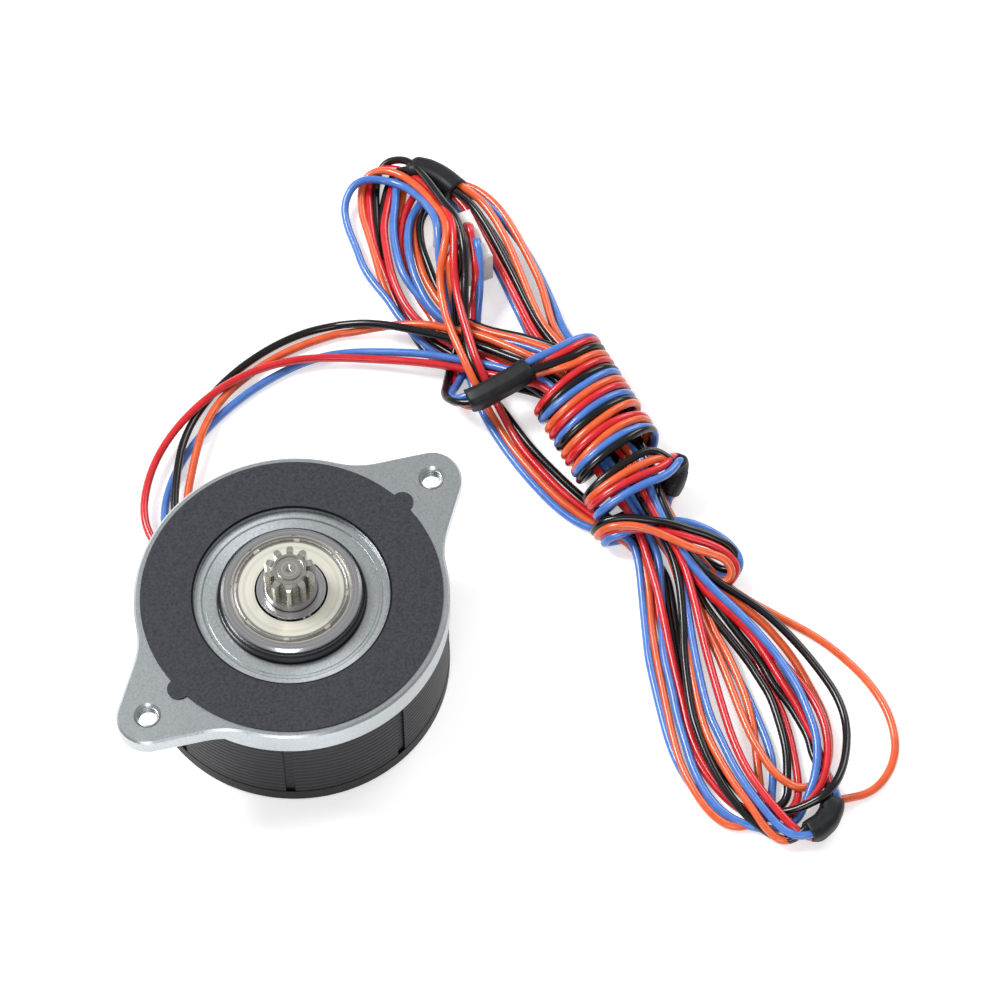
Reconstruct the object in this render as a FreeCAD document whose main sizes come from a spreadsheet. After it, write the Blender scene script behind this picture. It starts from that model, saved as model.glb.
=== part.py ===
import FreeCAD, Part
import math
import os
import re

import Sketcher

os.makedirs("parts", exist_ok=True)
doc = FreeCAD.newDocument("stepper_motor")
sheet = doc.addObject("Spreadsheet::Sheet", "Sizes")

# The frame: origin at the centre of the rear face, +Z along the shaft, ears along X, leads out along +Y.
# Lengths are in millimetres and angles in degrees. A size that follows others is a formula of their names.
SIZES = [
    ("body_length", 17.0, "rear face to mounting face"),
    ("flange_diameter", 36.0, "round of the flange"),
    ("rim_depth", 3.5, "flange rim along the axis"),
    ("plate_thickness", 1.7, "flange plate over the winding pocket"),
    ("rim_wall", 2.4, "wall of the rim round the pocket"),
    ("edge_chamfer", 0.25, "chamfer along the flange's front edge"),
    ("ear_reach", 3.92, "mounting hole beyond the flange's round"),
    ("ear_spacing", "=flange_diameter + 2 * ear_reach", "mounting hole to mounting hole"),
    ("ear_thickness", 2.2, "ear along the axis"),
    ("ear_end_radius", 3.5, "rounded end of an ear"),
    ("ear_flare_angle", 31.0, "slope of an ear's side to the ear line"),
    ("ear_blend_radius", 10.0, "hollow blend from ear to round"),
    ("tapped_hole_diameter", 2.5, "core of the M3 thread in an ear"),
    ("tapped_hole_chamfer", 0.3, "lead-in of a tapped hole"),
    ("recess_diameter", 22.4, "turned recess round the hub"),
    ("recess_depth", 0.65, "recess floor below the mounting face"),
    ("recess_floor_width", "=(recess_diameter - front_bearing_diameter) / 2 - press_gap - collar_wall",
     "flat floor of the recess, from its wall to the collar"),
    ("ring_groove_share", 0.394, "fine groove in the recess floor, as a share of the floor from its wall"),
    ("ring_groove_diameter", "=recess_diameter - 2 * ring_groove_share * recess_floor_width", "that groove"),
    ("ring_groove_width", 0.4, "width of that groove"),
    ("ring_groove_depth", 0.15, "depth of that groove"),
    ("collar_wall", 0.4, "thin collar round the bearing"),
    ("collar_height", 0.45, "collar above the mounting face"),
    ("hub_wall", 1.2, "hub wall round the bearing behind the plate"),
    ("lip_thickness", 0.6, "lip that the front bearing seats on"),
    ("lip_height", 1.0, "lip's reach inwards under the outer ring"),
    ("film_thickness", 0.2, "black film on the flange face"),
    ("film_margin", 0.75, "bare flange outside the film"),
    ("film_diameter", "=flange_diameter - 2 * film_margin", "outside of the film"),
    ("film_clearance", 0.25, "bare flange round the recess"),
    ("film_bore", "=recess_diameter + 2 * film_clearance", "hole in the film"),
    ("film_bump_radius", 1.28, "round bump of the film towards an ear"),
    ("shaft_diameter", 6.0, "shaft through the front bearing"),
    ("shaft_rear_diameter", 4.0, "journal in the rear bearing"),
    ("shaft_end_inset", 0.9, "rear end of the shaft above the rear face"),
    ("shaft_end_chamfer", 0.2, "chamfer on the shaft's rear end"),
    ("shoulder_diameter", 5.3, "shaft shoulder on the rear inner ring"),
    ("shoulder_length", 0.3, "length of that shoulder"),
    ("gear_reach", 6.3, "pinion's end above the mounting face"),
    ("gear_length", 3.5, "toothed length"),
    ("gear_teeth", 10, "teeth of the pinion"),
    ("gear_module", 0.5, "pitch diameter per tooth"),
    ("gear_tip_diameter", 5.9, "over the teeth"),
    ("gear_root_diameter", 3.75, "between the teeth"),
    ("gear_pressure_angle", 20.0, "flank angle on the pitch circle"),
    ("gear_turn", 226.0, "angle of one tooth at rest"),
    ("gear_tip_chamfer", 0.2, "chamfer on the teeth's front edge"),
    ("face_groove_diameter", 3.0, "ring cut in the pinion's end face"),
    ("face_groove_width", 0.25, "width of that ring"),
    ("face_groove_depth", 0.2, "depth of that ring"),
    ("centre_dimple_radius", 0.5, "lathe centre in the pinion's end"),
    ("centre_dimple_depth", 0.45, "depth of the lathe centre"),
    ("press_gap", 0.01, "radial gap drawn at a press fit"),
    ("bearing_gap", 0.05, "running gap of balls in their races and pockets"),
    ("bearing_stand_out", 1.5, "front bearing above the mounting face"),
    ("front_bearing_diameter", 16.0, "outside of the front bearing"),
    ("front_bearing_width", 5.0, "width of the front bearing"),
    ("front_outer_bore", 13.3, "inside of the front outer ring's shoulders"),
    ("front_inner_shoulder", 7.9, "outside of the front inner ring"),
    ("front_pitch_diameter", 10.6, "circle of the front balls"),
    ("front_ball_diameter", 3.175, "ball"),
    ("front_ball_count", 7, "balls in the front bearing"),
    ("rear_bearing_diameter", 10.0, "outside of the rear bearing"),
    ("rear_bearing_width", 3.0, "width of the rear bearing"),
    ("rear_outer_bore", 8.1, "inside of the rear outer ring's shoulders"),
    ("rear_inner_shoulder", 5.9, "outside of the rear inner ring"),
    ("rear_pitch_diameter", 7.0, "circle of the rear balls"),
    ("rear_ball_diameter", 1.588, "ball"),
    ("rear_ball_count", 9, "balls in the rear bearing"),
    ("ring_chamfer", 0.3, "chamfer on an outer ring"),
    ("shield_seat", 0.3, "step in the outer ring that holds a shield"),
    ("shield_inset", 0.15, "shield below the ring's face"),
    ("shield_thickness", 0.2, "sheet of a shield"),
    ("shield_gap", 0.22, "open gap between shield and inner ring"),
    ("shield_curl", 0.35, "width of the crimped rim of a shield"),
    ("shield_notches", 8, "crimp notches in the rim"),
    ("shield_notch_width", 0.5, "width of a notch"),
    ("cage_side_gap", 0.6, "cage to a ring's shoulder, front bearing"),
    ("rear_cage_side_gap", 0.22, "cage to a ring's shoulder, rear bearing"),
    ("cage_web", 0.3, "cage behind the balls"),
    ("cage_crown", 0.55, "share of the ball's radius that the cage's open side reaches"),
    ("cap_height", 2.3, "rear cap's wall along the axis"),
    ("cap_step", 0.2, "rear cap inside the flange's round"),
    ("cap_diameter", "=flange_diameter - 2 * cap_step", "outside of the rear cap"),
    ("cap_floor", 0.7, "floor of the rear cap"),
    ("cap_wall", 1.4, "wall of the rear cap"),
    ("cap_chamfer", 0.35, "chamfer round the rear face"),
    ("cap_hole_diameter", 6.4, "hole in the rear cap behind the shaft"),
    ("cap_hub_wall", 1.2, "wall round the rear bearing"),
    ("cap_hub_inset", 0.15, "hub's end below the rear bearing's top"),
    ("washer_height", 0.4, "wave washer as fitted"),
    ("washer_thickness", 0.15, "spring sheet of the wave washer"),
    ("washer_waves", 3, "waves round the washer"),
    ("washer_width", 0.9, "radial width of the wave washer"),
    ("stack_step", 0.25, "laminations inside the flange's round"),
    ("stack_diameter", "=flange_diameter - 2 * stack_step", "outside of the laminations"),
    ("yoke_width", 3.35, "laminations behind the winding slots"),
    ("slot_diameter", "=stack_diameter - 2 * yoke_width", "bottom of the winding slots"),
    ("pole_count", 8, "poles of the stator"),
    ("pole_width", 3.2, "neck of a pole"),
    ("rotor_share", 0.528, "rotor diameter as a share of the flange's"),
    ("rotor_diameter", "=flange_diameter * rotor_share", "over the rotor's teeth"),
    ("pole_shoe_depth", 1.5, "rotor's teeth to where a pole's neck opens into its shoe"),
    ("pole_shoe_root", "=rotor_diameter + 2 * pole_shoe_depth", "diameter of that place"),
    ("pole_corner_depth", 1.1, "rotor's teeth to the shoe's outer corners"),
    ("pole_shoe_edge", "=rotor_diameter + 2 * pole_corner_depth", "diameter of the corners"),
    ("pole_teeth", 6, "small teeth on a pole"),
    ("stator_tooth_share", 0.46, "tooth width as a share of the tooth pitch, stator"),
    ("tooth_depth", 0.45, "depth of the small teeth"),
    ("seam_width", 1.1, "upright seam groove in the laminations"),
    ("seam_depth", 0.25, "depth of a seam groove"),
    ("air_gap", 0.06, "rotor to stator, radial"),
    ("rotor_teeth", 50, "teeth of a rotor stack"),
    ("rotor_tooth_share", 0.42, "tooth width as a share of the tooth pitch, rotor"),
    ("magnet_thickness", 1.5, "magnet between the rotor stacks"),
    ("magnet_inset", 1.5, "magnet inside the rotor's teeth"),
    ("magnet_diameter", "=rotor_diameter - 2 * magnet_inset", "outside of the magnet"),
    ("rotor_front_gap", 0.3, "rotor to the flange's lip"),
    ("rotor_rear_gap", 0.4, "rotor to the rear bearing"),
    ("spacer_wall", 0.8, "wall of the spacer behind the front bearing"),
    ("insulator_plate", 0.4, "plastic over a pole's end"),
    ("insulator_skin", 0.35, "plastic along a pole's neck"),
    ("insulator_height", 1.5, "bobbin walls beyond the stack"),
    ("insulator_wall", 0.35, "thickness of a bobbin wall"),
    ("insulator_ring_width", 0.9, "ring that joins the bobbins, beyond the slots"),
    ("insulator_ring", "=slot_diameter + 2 * insulator_ring_width", "outside of that ring"),
    ("coil_build", 1.15, "winding thickness beside a pole"),
    ("coil_end_build", 0.9, "winding thickness over a pole's end"),
    ("coil_gap", 0.03, "winding to plastic"),
    ("screw_inset", 1.85, "screw inside the laminations' round"),
    ("screw_circle", "=stack_diameter - 2 * screw_inset", "diameter on which the screws stand"),
    ("screw_count", 4, "assembly screws"),
    ("screw_diameter", 2.0, "shank of an assembly screw"),
    ("screw_head_diameter", 3.4, "countersunk head"),
    ("screw_head_height", 0.7, "height of the head"),
    ("screw_end_gap", 1.0, "screw's end below the mounting face"),
    ("screw_boss_diameter", 3.8, "boss round a screw"),
    ("screw_socket_width", 1.3, "hexagon in the head across flats"),
    ("screw_socket_depth", 0.45, "depth of that hexagon"),
    ("lead_diameter", 1.0, "insulated wire"),
    ("lead_pitch", 1.34, "lead to lead where they leave the motor"),
    ("lead_height", 1.5, "leads above the rear face at the exit"),
    ("grommet_side", 1.1, "grommet beyond the outermost lead's centre"),
    ("grommet_length", 1.9, "grommet along the leads"),
    ("grommet_stand_out", 0.1, "grommet beyond the cap's wall"),
    ("board_thickness", 0.4, "terminal board"),
    ("board_gap", 0.1, "terminal board to the bobbin ring"),
    ("hank_length", 104.0, "hank from end to end"),
    ("hank_height", 4.2, "loops of the hank above the table"),
    ("neck_width", 11.9, "wrapped neck across"),
    ("neck_height", 7.7, "wrapped neck above the table"),
    ("neck_length", 23.0, "wrapped neck along the hank"),
    ("sleeve_diameter", 3.0, "shrink sleeve outside"),
    ("sleeve_wall", 0.25, "shrink sleeve wall"),
    ("housing_length", 7.4, "connector along its visible pair of holes"),
    ("housing_width", 5.0, "connector across"),
    ("housing_depth", 5.4, "connector from wire side to mating side"),
    ("housing_chamfer", 0.3, "chamfer on the connector's wire side"),
    ("housing_pitch", 2.4, "contact to contact"),
    ("housing_hole", 1.5, "wire hole"),
    ("contact_width", 1.1, "crimped contact across"),
    ("contact_length", 4.4, "crimped contact along its hole"),
]

ALIASES = set()
for line_number, (alias, _, note) in enumerate(SIZES, start=1):
    sheet.set("A%d" % line_number, note)
    sheet.setAlias("B%d" % line_number, alias)
    ALIASES.add(alias)
for line_number, (_, number, _) in enumerate(SIZES, start=1):
    sheet.set("B%d" % line_number, str(number))
doc.recompute()


def value(expression):
    """Number that an expression in the sheet's names stands for."""
    return float(sheet.evalExpression(expression))


def bound(expression):
    """The same expression with each name pointing at its cell, for use outside the sheet."""
    return re.sub(r"[a-z_]+", lambda word: "Sizes." + word.group() if word.group() in ALIASES else word.group(),
                  expression)


def at_angle(radius, degrees, height=0.0):
    """Point at a radius and an angle about Z."""
    turn = math.radians(degrees)
    return FreeCAD.Vector(radius * math.cos(turn), radius * math.sin(turn), height)


def turned_about_z(shape, degrees):
    """Copy of a shape turned about the motor's axis."""
    copy = shape.copy()
    copy.rotate(FreeCAD.Vector(0, 0, 0), FreeCAD.Vector(0, 0, 1), degrees)
    return copy


def around(shape, count, first=0.0):
    """Copies of a shape, evenly spaced about the motor's axis."""
    return [turned_about_z(shape, first + step * 360.0 / count) for step in range(count)]


# Heights and radii that several pieces share, as expressions of the sheet.
RIM_BASE = "(body_length - rim_depth)"
PLATE_BASE = "(body_length - plate_thickness)"
RECESS_FLOOR = "(body_length - recess_depth)"
POCKET_RADIUS = "(flange_diameter / 2 - rim_wall)"
FRONT_BASE = "(body_length + bearing_stand_out - front_bearing_width)"
LIP_BASE = f"({FRONT_BASE} - lip_thickness)"
FRONT_SEAT = "(front_bearing_diameter / 2 + press_gap)"
REAR_BASE = "(cap_floor + washer_height)"
REAR_TOP = f"({REAR_BASE} + rear_bearing_width)"
REAR_SEAT = "(rear_bearing_diameter / 2 + press_gap)"
ROTOR_TOP = f"({LIP_BASE} - rotor_front_gap)"
ROTOR_BASE = f"({REAR_TOP} + rotor_rear_gap)"
STACK_RISE = f"(({ROTOR_TOP} - {ROTOR_BASE} - magnet_thickness) / 2)"
SHAFT_BORE = "(shaft_diameter / 2 + press_gap)"
GEAR_TOP = "(body_length + gear_reach)"
GEAR_BASE = f"({GEAR_TOP} - gear_length)"
CAP_BORE = "(cap_diameter / 2 - cap_wall)"
STATOR_BORE = "(rotor_diameter / 2 + air_gap)"


def plane_of(body, role):
    """Origin plane of a body by its role."""
    return next(feature for feature in body.Origin.OriginFeatures if feature.Role == role)


def fix_point(sketch, edge, across, up):
    """Tie the start of an edge to the sketch's origin by two expressions."""
    for kind, expression in (("DistanceX", across), ("DistanceY", up)):
        row = sketch.addConstraint(Sketcher.Constraint(kind, -1, 1, edge, 1, value(expression)))
        sketch.setExpression("Constraints[%d]" % row, bound(expression))


def section_sketch(body, name, corners):
    """Closed section in the XZ plane; each corner is a pair of expressions, radius and height."""
    sketch = body.newObject("Sketcher::SketchObject", name)
    sketch.AttachmentSupport = [(plane_of(body, "XZ_Plane"), "")]
    sketch.MapMode = "FlatFace"
    points = [FreeCAD.Vector(value(across), value(up), 0) for across, up in corners]
    for start, end in zip(points, points[1:] + points[:1]):
        sketch.addGeometry(Part.LineSegment(start, end), False)
    for edge in range(len(points)):
        following = (edge + 1) % len(points)
        sketch.addConstraint(Sketcher.Constraint("Coincident", edge, 2, following, 1))
    for edge, (across, up) in enumerate(corners):
        fix_point(sketch, edge, across, up)
    return sketch


def turned_body(label, corners):
    """Turned piece: a section revolved about the motor's axis."""
    body = doc.addObject("PartDesign::Body", label)
    sketch = section_sketch(body, label + "_section", corners)
    feature = body.newObject("PartDesign::Revolution", label + "_turning")
    feature.Profile = sketch
    feature.ReferenceAxis = (sketch, ["V_Axis"])
    feature.Angle = 360
    doc.recompute()
    return body


def cut_race(body, radius, height, size):
    """Groove of round section for a row of balls, all sizes as expressions."""
    before = body.Shape.Volume
    sketch = body.newObject("Sketcher::SketchObject", body.Name + "_race")
    sketch.AttachmentSupport = [(plane_of(body, "XZ_Plane"), "")]
    sketch.MapMode = "FlatFace"
    centre = FreeCAD.Vector(value(radius), value(height), 0)
    sketch.addGeometry(Part.Circle(centre, FreeCAD.Vector(0, 0, 1), value(size)), False)
    for kind, expression in (("DistanceX", radius), ("DistanceY", height)):
        row = sketch.addConstraint(Sketcher.Constraint(kind, -1, 1, 0, 3, value(expression)))
        sketch.setExpression("Constraints[%d]" % row, bound(expression))
    row = sketch.addConstraint(Sketcher.Constraint("Radius", 0, value(size)))
    sketch.setExpression("Constraints[%d]" % row, bound(size))
    groove = body.newObject("PartDesign::Groove", body.Name + "_groove")
    groove.Profile = sketch
    groove.ReferenceAxis = (sketch, ["V_Axis"])
    groove.Angle = 360
    doc.recompute()
    if body.Shape.Volume >= before:
        raise RuntimeError(body.Name + ": the race cuts nothing")
    return body


def cylinder(name, radius, height, base="0", across="0", along="0"):
    """Upright cylinder bound to the sheet."""
    post = doc.addObject("Part::Cylinder", name)
    post.setExpression("Radius", bound(radius))
    post.setExpression("Height", bound(height))
    post.setExpression("Placement.Base.x", bound(across))
    post.setExpression("Placement.Base.y", bound(along))
    post.setExpression("Placement.Base.z", bound(base))
    return post


def cone(name, low_radius, high_radius, height, base, across="0", along="0"):
    """Upright cone bound to the sheet."""
    taper = doc.addObject("Part::Cone", name)
    taper.setExpression("Radius1", bound(low_radius))
    taper.setExpression("Radius2", bound(high_radius))
    taper.setExpression("Height", bound(height))
    taper.setExpression("Placement.Base.x", bound(across))
    taper.setExpression("Placement.Base.y", bound(along))
    taper.setExpression("Placement.Base.z", bound(base))
    return taper


def shaped(name, shape):
    """Piece whose shape is worked out from the sheet's values."""
    feature = doc.addObject("Part::Feature", name)
    feature.Shape = shape
    return feature


def fused(name, pieces):
    """Several features as one solid."""
    whole = doc.addObject("Part::MultiFuse", name)
    whole.Shapes = pieces
    whole.Refine = True
    doc.recompute()
    return whole


def minus(name, base, tools):
    """A feature less all the tools."""
    tool = tools[0]
    if len(tools) > 1:
        tool = doc.addObject("Part::Compound", name + "_cutters")
        tool.Links = tools
    cut = doc.addObject("Part::Cut", name)
    cut.Base = base
    cut.Tool = tool
    cut.Refine = True
    doc.recompute()
    if cut.Shape.Volume >= base.Shape.Volume:
        raise RuntimeError(name + ": the cut removes nothing")
    return cut


def face_of(edges):
    """Flat face inside a closed run of edges."""
    return Part.Face(Part.Wire(edges))


# Front flange: a turned cup with a recess, a collar and a lip for the bearing, and two flat ears.

HUB_RADIUS = f"({FRONT_SEAT} + hub_wall)"
COLLAR_RADIUS = f"({FRONT_SEAT} + collar_wall)"
LIP_OUTSIDE = f"({STATOR_BORE} - hub_wall / 3)"
GROOVE_OUT = "(ring_groove_diameter / 2 + ring_groove_width / 2)"
GROOVE_IN = "(ring_groove_diameter / 2 - ring_groove_width / 2)"

flange_cup = turned_body("flange_cup", [
    (f"{FRONT_SEAT} - lip_height", LIP_BASE),
    (LIP_OUTSIDE, LIP_BASE),
    (LIP_OUTSIDE, RIM_BASE),
    (HUB_RADIUS, RIM_BASE),
    (HUB_RADIUS, PLATE_BASE),
    (POCKET_RADIUS, PLATE_BASE),
    (POCKET_RADIUS, RIM_BASE),
    ("flange_diameter / 2", RIM_BASE),
    ("flange_diameter / 2", "body_length - edge_chamfer"),
    ("flange_diameter / 2 - edge_chamfer", "body_length"),
    ("recess_diameter / 2", "body_length"),
    ("recess_diameter / 2", RECESS_FLOOR),
    (GROOVE_OUT, RECESS_FLOOR),
    (GROOVE_OUT, f"{RECESS_FLOOR} - ring_groove_depth"),
    (GROOVE_IN, f"{RECESS_FLOOR} - ring_groove_depth"),
    (GROOVE_IN, RECESS_FLOOR),
    (COLLAR_RADIUS, RECESS_FLOOR),
    (COLLAR_RADIUS, "body_length + collar_height"),
    (FRONT_SEAT, "body_length + collar_height"),
    (FRONT_SEAT, FRONT_BASE),
    (f"{FRONT_SEAT} - lip_height", FRONT_BASE),
])


def ear_outline():
    """Edges of one ear's outline in the +X direction: blend, side, round end, side, blend, chord."""
    centre = value("ear_spacing / 2")
    end = value("ear_end_radius")
    big = value("flange_diameter / 2")
    slope = math.radians(value("ear_flare_angle"))
    along = FreeCAD.Vector(-math.cos(slope), math.sin(slope), 0)
    outwards = FreeCAD.Vector(math.sin(slope), math.cos(slope), 0)
    side_start = FreeCAD.Vector(centre, 0, 0) + outwards * end
    blend = value("ear_blend_radius")
    # The blend's circle touches the side's line and the round; a short side limits its radius.
    while True:
        line_start = side_start + outwards * blend
        reach = big + blend
        half = line_start.dot(along)
        gap = half * half - (line_start.dot(line_start) - reach * reach)
        run = -half - math.sqrt(gap) if gap > 0 else -1.0
        if run > 0:
            break
        blend *= 0.9
    blend_centre = line_start + along * run
    side_end = side_start + along * run
    round_touch = blend_centre * (big / reach)
    middle = blend_centre + ((side_end + round_touch) * 0.5 - blend_centre).normalize() * blend

    def mirrored(point):
        return FreeCAD.Vector(point.x, -point.y, 0)

    return [
        Part.Arc(round_touch, middle, side_end).toShape(),
        Part.LineSegment(side_end, side_start).toShape(),
        Part.Arc(side_start, FreeCAD.Vector(centre + end, 0, 0), mirrored(side_start)).toShape(),
        Part.LineSegment(mirrored(side_start), mirrored(side_end)).toShape(),
        Part.Arc(mirrored(side_end), mirrored(middle), mirrored(round_touch)).toShape(),
        Part.LineSegment(mirrored(round_touch), round_touch).toShape(),
    ]


def ear_solid():
    """One ear with its front edge chamfered, cut clear of the flange's pocket."""
    rise = value("ear_thickness")
    plate = face_of(ear_outline()).extrude(FreeCAD.Vector(0, 0, rise))
    front_edges = [edge for edge in plate.Edges
                   if all(abs(vertex.Z - rise) < 1e-6 for vertex in edge.Vertexes)
                   and edge.BoundBox.XLength > 1e-6]
    plate = plate.makeChamfer(value("edge_chamfer"), front_edges)
    plate.translate(FreeCAD.Vector(0, 0, value("body_length - ear_thickness")))
    core = Part.makeCylinder(value(POCKET_RADIUS) + value("rim_wall") / 2, 2 * rise)
    core.translate(FreeCAD.Vector(0, 0, value("body_length") - 1.5 * rise))
    return plate.cut(core)


def screw_places():
    """Angles of the assembly screws, half a pole away from the poles."""
    half_pole = 180.0 / value("pole_count")
    return [half_pole + step * 360.0 / value("screw_count") for step in range(int(value("screw_count")))]


def screw_posts(name, radius, base, height):
    """Upright cylinders at every screw, sizes as expressions."""
    posts = []
    for number, degrees in enumerate(screw_places(), start=1):
        posts.append(cylinder(f"{name}_{number}", radius, height, base,
                              f"screw_circle / 2 * cos({degrees} * 1 deg)",
                              f"screw_circle / 2 * sin({degrees} * 1 deg)"))
    return posts


ears = [shaped("ear_right", ear_solid()), shaped("ear_left", turned_about_z(ear_solid(), 180))]
bosses = screw_posts("flange_boss", "screw_boss_diameter / 2", RIM_BASE, "rim_depth - plate_thickness / 2")
flange_blank = fused("flange_blank", [flange_cup] + ears + bosses)
flange_cutters = screw_posts("flange_screw_hole", "screw_diameter / 2 + press_gap", f"{RIM_BASE} - 1",
                             "rim_depth + 1 - screw_end_gap")
for side, sign in (("right", 1), ("left", -1)):
    place = f"{sign} * ear_spacing / 2"
    flange_cutters.append(cylinder(f"mount_hole_{side}", "tapped_hole_diameter / 2", "ear_thickness + 2",
                                   "body_length - ear_thickness - 1", place))
    for end, base, low, high in (
        ("front", "body_length - tapped_hole_chamfer", "0", "tapped_hole_chamfer"),
        ("back", "body_length - ear_thickness", "tapped_hole_chamfer", "0"),
    ):
        flange_cutters.append(cone(f"mount_hole_{side}_{end}", f"tapped_hole_diameter / 2 + {low}",
                                   f"tapped_hole_diameter / 2 + {high}", "tapped_hole_chamfer", base, place))
front_flange = minus("front_flange", flange_blank, flange_cutters)

# Black film on the flange face, with a round bump towards each ear.

film_blank = fused("film_blank", [
    cylinder("film_disc", "film_diameter / 2", "film_thickness", "body_length"),
    cylinder("film_bump_right", "film_bump_radius", "film_thickness", "body_length", "film_diameter / 2"),
    cylinder("film_bump_left", "film_bump_radius", "film_thickness", "body_length", "-film_diameter / 2"),
])
face_film = minus("face_film", film_blank, [
    cylinder("film_hole", "film_bore / 2", "film_thickness + 2", "body_length - 1"),
])


# Ball bearings: two rings with races, balls in a crown cage, a crimped shield on each side.

def outer_ring(label, base, width, outside, bore, pitch, ball):
    """Outer ring with a shield step at each end."""
    step = "(shield_inset + shield_thickness)"
    body = turned_body(label, [
        (f"{outside} / 2 - ring_chamfer", base),
        (f"{outside} / 2", f"{base} + ring_chamfer"),
        (f"{outside} / 2", f"{base} + {width} - ring_chamfer"),
        (f"{outside} / 2 - ring_chamfer", f"{base} + {width}"),
        (f"{bore} / 2 + shield_seat", f"{base} + {width}"),
        (f"{bore} / 2 + shield_seat", f"{base} + {width} - {step}"),
        (f"{bore} / 2", f"{base} + {width} - {step}"),
        (f"{bore} / 2", f"{base} + {step}"),
        (f"{bore} / 2 + shield_seat", f"{base} + {step}"),
        (f"{bore} / 2 + shield_seat", base),
    ])
    return cut_race(body, f"{pitch} / 2", f"{base} + {width} / 2", f"{ball} / 2 + bearing_gap")


def inner_ring(label, base, width, bore_radius, shoulder, pitch, ball):
    """Inner ring with a race."""
    body = turned_body(label, [
        (bore_radius, base),
        (f"{shoulder} / 2", base),
        (f"{shoulder} / 2", f"{base} + {width}"),
        (bore_radius, f"{base} + {width}"),
    ])
    return cut_race(body, f"{pitch} / 2", f"{base} + {width} / 2", f"{ball} / 2 + bearing_gap")


def shield(label, base, width, bore, shoulder, front):
    """Sheet shield with a crimped rim, notched where the crimping tool pressed it."""
    if front:
        outer_face = f"({base} + {width} - shield_inset)"
        inner_face = f"({outer_face} - shield_thickness)"
        rim_face = f"({base} + {width} - shield_inset / 3)"
    else:
        outer_face = f"({base} + shield_inset)"
        inner_face = f"({outer_face} + shield_thickness)"
        rim_face = f"({base} + shield_inset / 3)"
    rim = f"({bore} / 2 + shield_seat - press_gap)"
    plate = turned_body(label + "_sheet", [
        (f"{shoulder} / 2 + shield_gap", inner_face),
        (rim, inner_face),
        (rim, rim_face),
        (f"{rim} - shield_curl / 2", rim_face),
        (f"{rim} - shield_curl", outer_face),
        (f"{shoulder} / 2 + shield_gap", outer_face),
    ])
    low = min(value(outer_face), value(rim_face))
    notch = Part.makeBox(value("shield_curl"), value("shield_notch_width"), value("shield_inset"))
    notch.translate(FreeCAD.Vector(value(rim) - value("shield_curl") * 0.6, -value("shield_notch_width") / 2,
                                   low if front else low - value("shield_inset") / 3))
    notches = shaped(label + "_notches", Part.makeCompound(around(notch, int(value("shield_notches")))))
    return minus(label, plate, [notches])


def balls(label, base, width, pitch, ball, count):
    """The balls, each a solid of its own."""
    sphere = Part.makeSphere(value(ball) / 2)
    sphere.translate(FreeCAD.Vector(value(pitch) / 2, 0, value(base) + value(width) / 2))
    return shaped(label, Part.makeCompound(around(sphere, int(value(count)))))


def cage(label, base, width, pitch, ball, count, shoulder, bore, side_gap):
    """Crown cage: a ring open to one side, with a round pocket for each ball."""
    middle = f"({base} + {width} / 2)"
    ring = turned_body(label + "_ring", [
        (f"{shoulder} / 2 + {side_gap}", f"{middle} - {ball} / 2 - bearing_gap - cage_web"),
        (f"{bore} / 2 - {side_gap}", f"{middle} - {ball} / 2 - bearing_gap - cage_web"),
        (f"{bore} / 2 - {side_gap}", f"{middle} + {ball} / 2 * cage_crown"),
        (f"{shoulder} / 2 + {side_gap}", f"{middle} + {ball} / 2 * cage_crown"),
    ])
    pocket = Part.makeSphere(value(ball) / 2 + value("bearing_gap"))
    pocket.translate(FreeCAD.Vector(value(pitch) / 2, 0, value(middle)))
    pockets = shaped(label + "_pockets", Part.makeCompound(around(pocket, int(value(count)))))
    return minus(label, ring, [pockets])


FRONT = (FRONT_BASE, "front_bearing_width")
REAR = (REAR_BASE, "rear_bearing_width")
REAR_JOURNAL = "(shaft_rear_diameter / 2 + press_gap)"

bearing_parts = [
    outer_ring("front_bearing_outer_ring", *FRONT, "front_bearing_diameter", "front_outer_bore",
               "front_pitch_diameter", "front_ball_diameter"),
    inner_ring("front_bearing_inner_ring", *FRONT, SHAFT_BORE, "front_inner_shoulder",
               "front_pitch_diameter", "front_ball_diameter"),
    balls("front_bearing_balls", *FRONT, "front_pitch_diameter", "front_ball_diameter", "front_ball_count"),
    cage("front_bearing_cage", *FRONT, "front_pitch_diameter", "front_ball_diameter", "front_ball_count",
         "front_inner_shoulder", "front_outer_bore", "cage_side_gap"),
    shield("front_bearing_outer_shield", *FRONT, "front_outer_bore", "front_inner_shoulder", True),
    shield("front_bearing_inner_shield", *FRONT, "front_outer_bore", "front_inner_shoulder", False),
    outer_ring("rear_bearing_outer_ring", *REAR, "rear_bearing_diameter", "rear_outer_bore",
               "rear_pitch_diameter", "rear_ball_diameter"),
    inner_ring("rear_bearing_inner_ring", *REAR, REAR_JOURNAL, "rear_inner_shoulder",
               "rear_pitch_diameter", "rear_ball_diameter"),
    balls("rear_bearing_balls", *REAR, "rear_pitch_diameter", "rear_ball_diameter", "rear_ball_count"),
    cage("rear_bearing_cage", *REAR, "rear_pitch_diameter", "rear_ball_diameter", "rear_ball_count",
         "rear_inner_shoulder", "rear_outer_bore", "rear_cage_side_gap"),
    shield("rear_bearing_front_shield", *REAR, "rear_outer_bore", "rear_inner_shoulder", True),
    shield("rear_bearing_back_shield", *REAR, "rear_outer_bore", "rear_inner_shoulder", False),
]


# Wave washer between the rear cap's floor and the rear bearing's outer ring.

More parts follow.
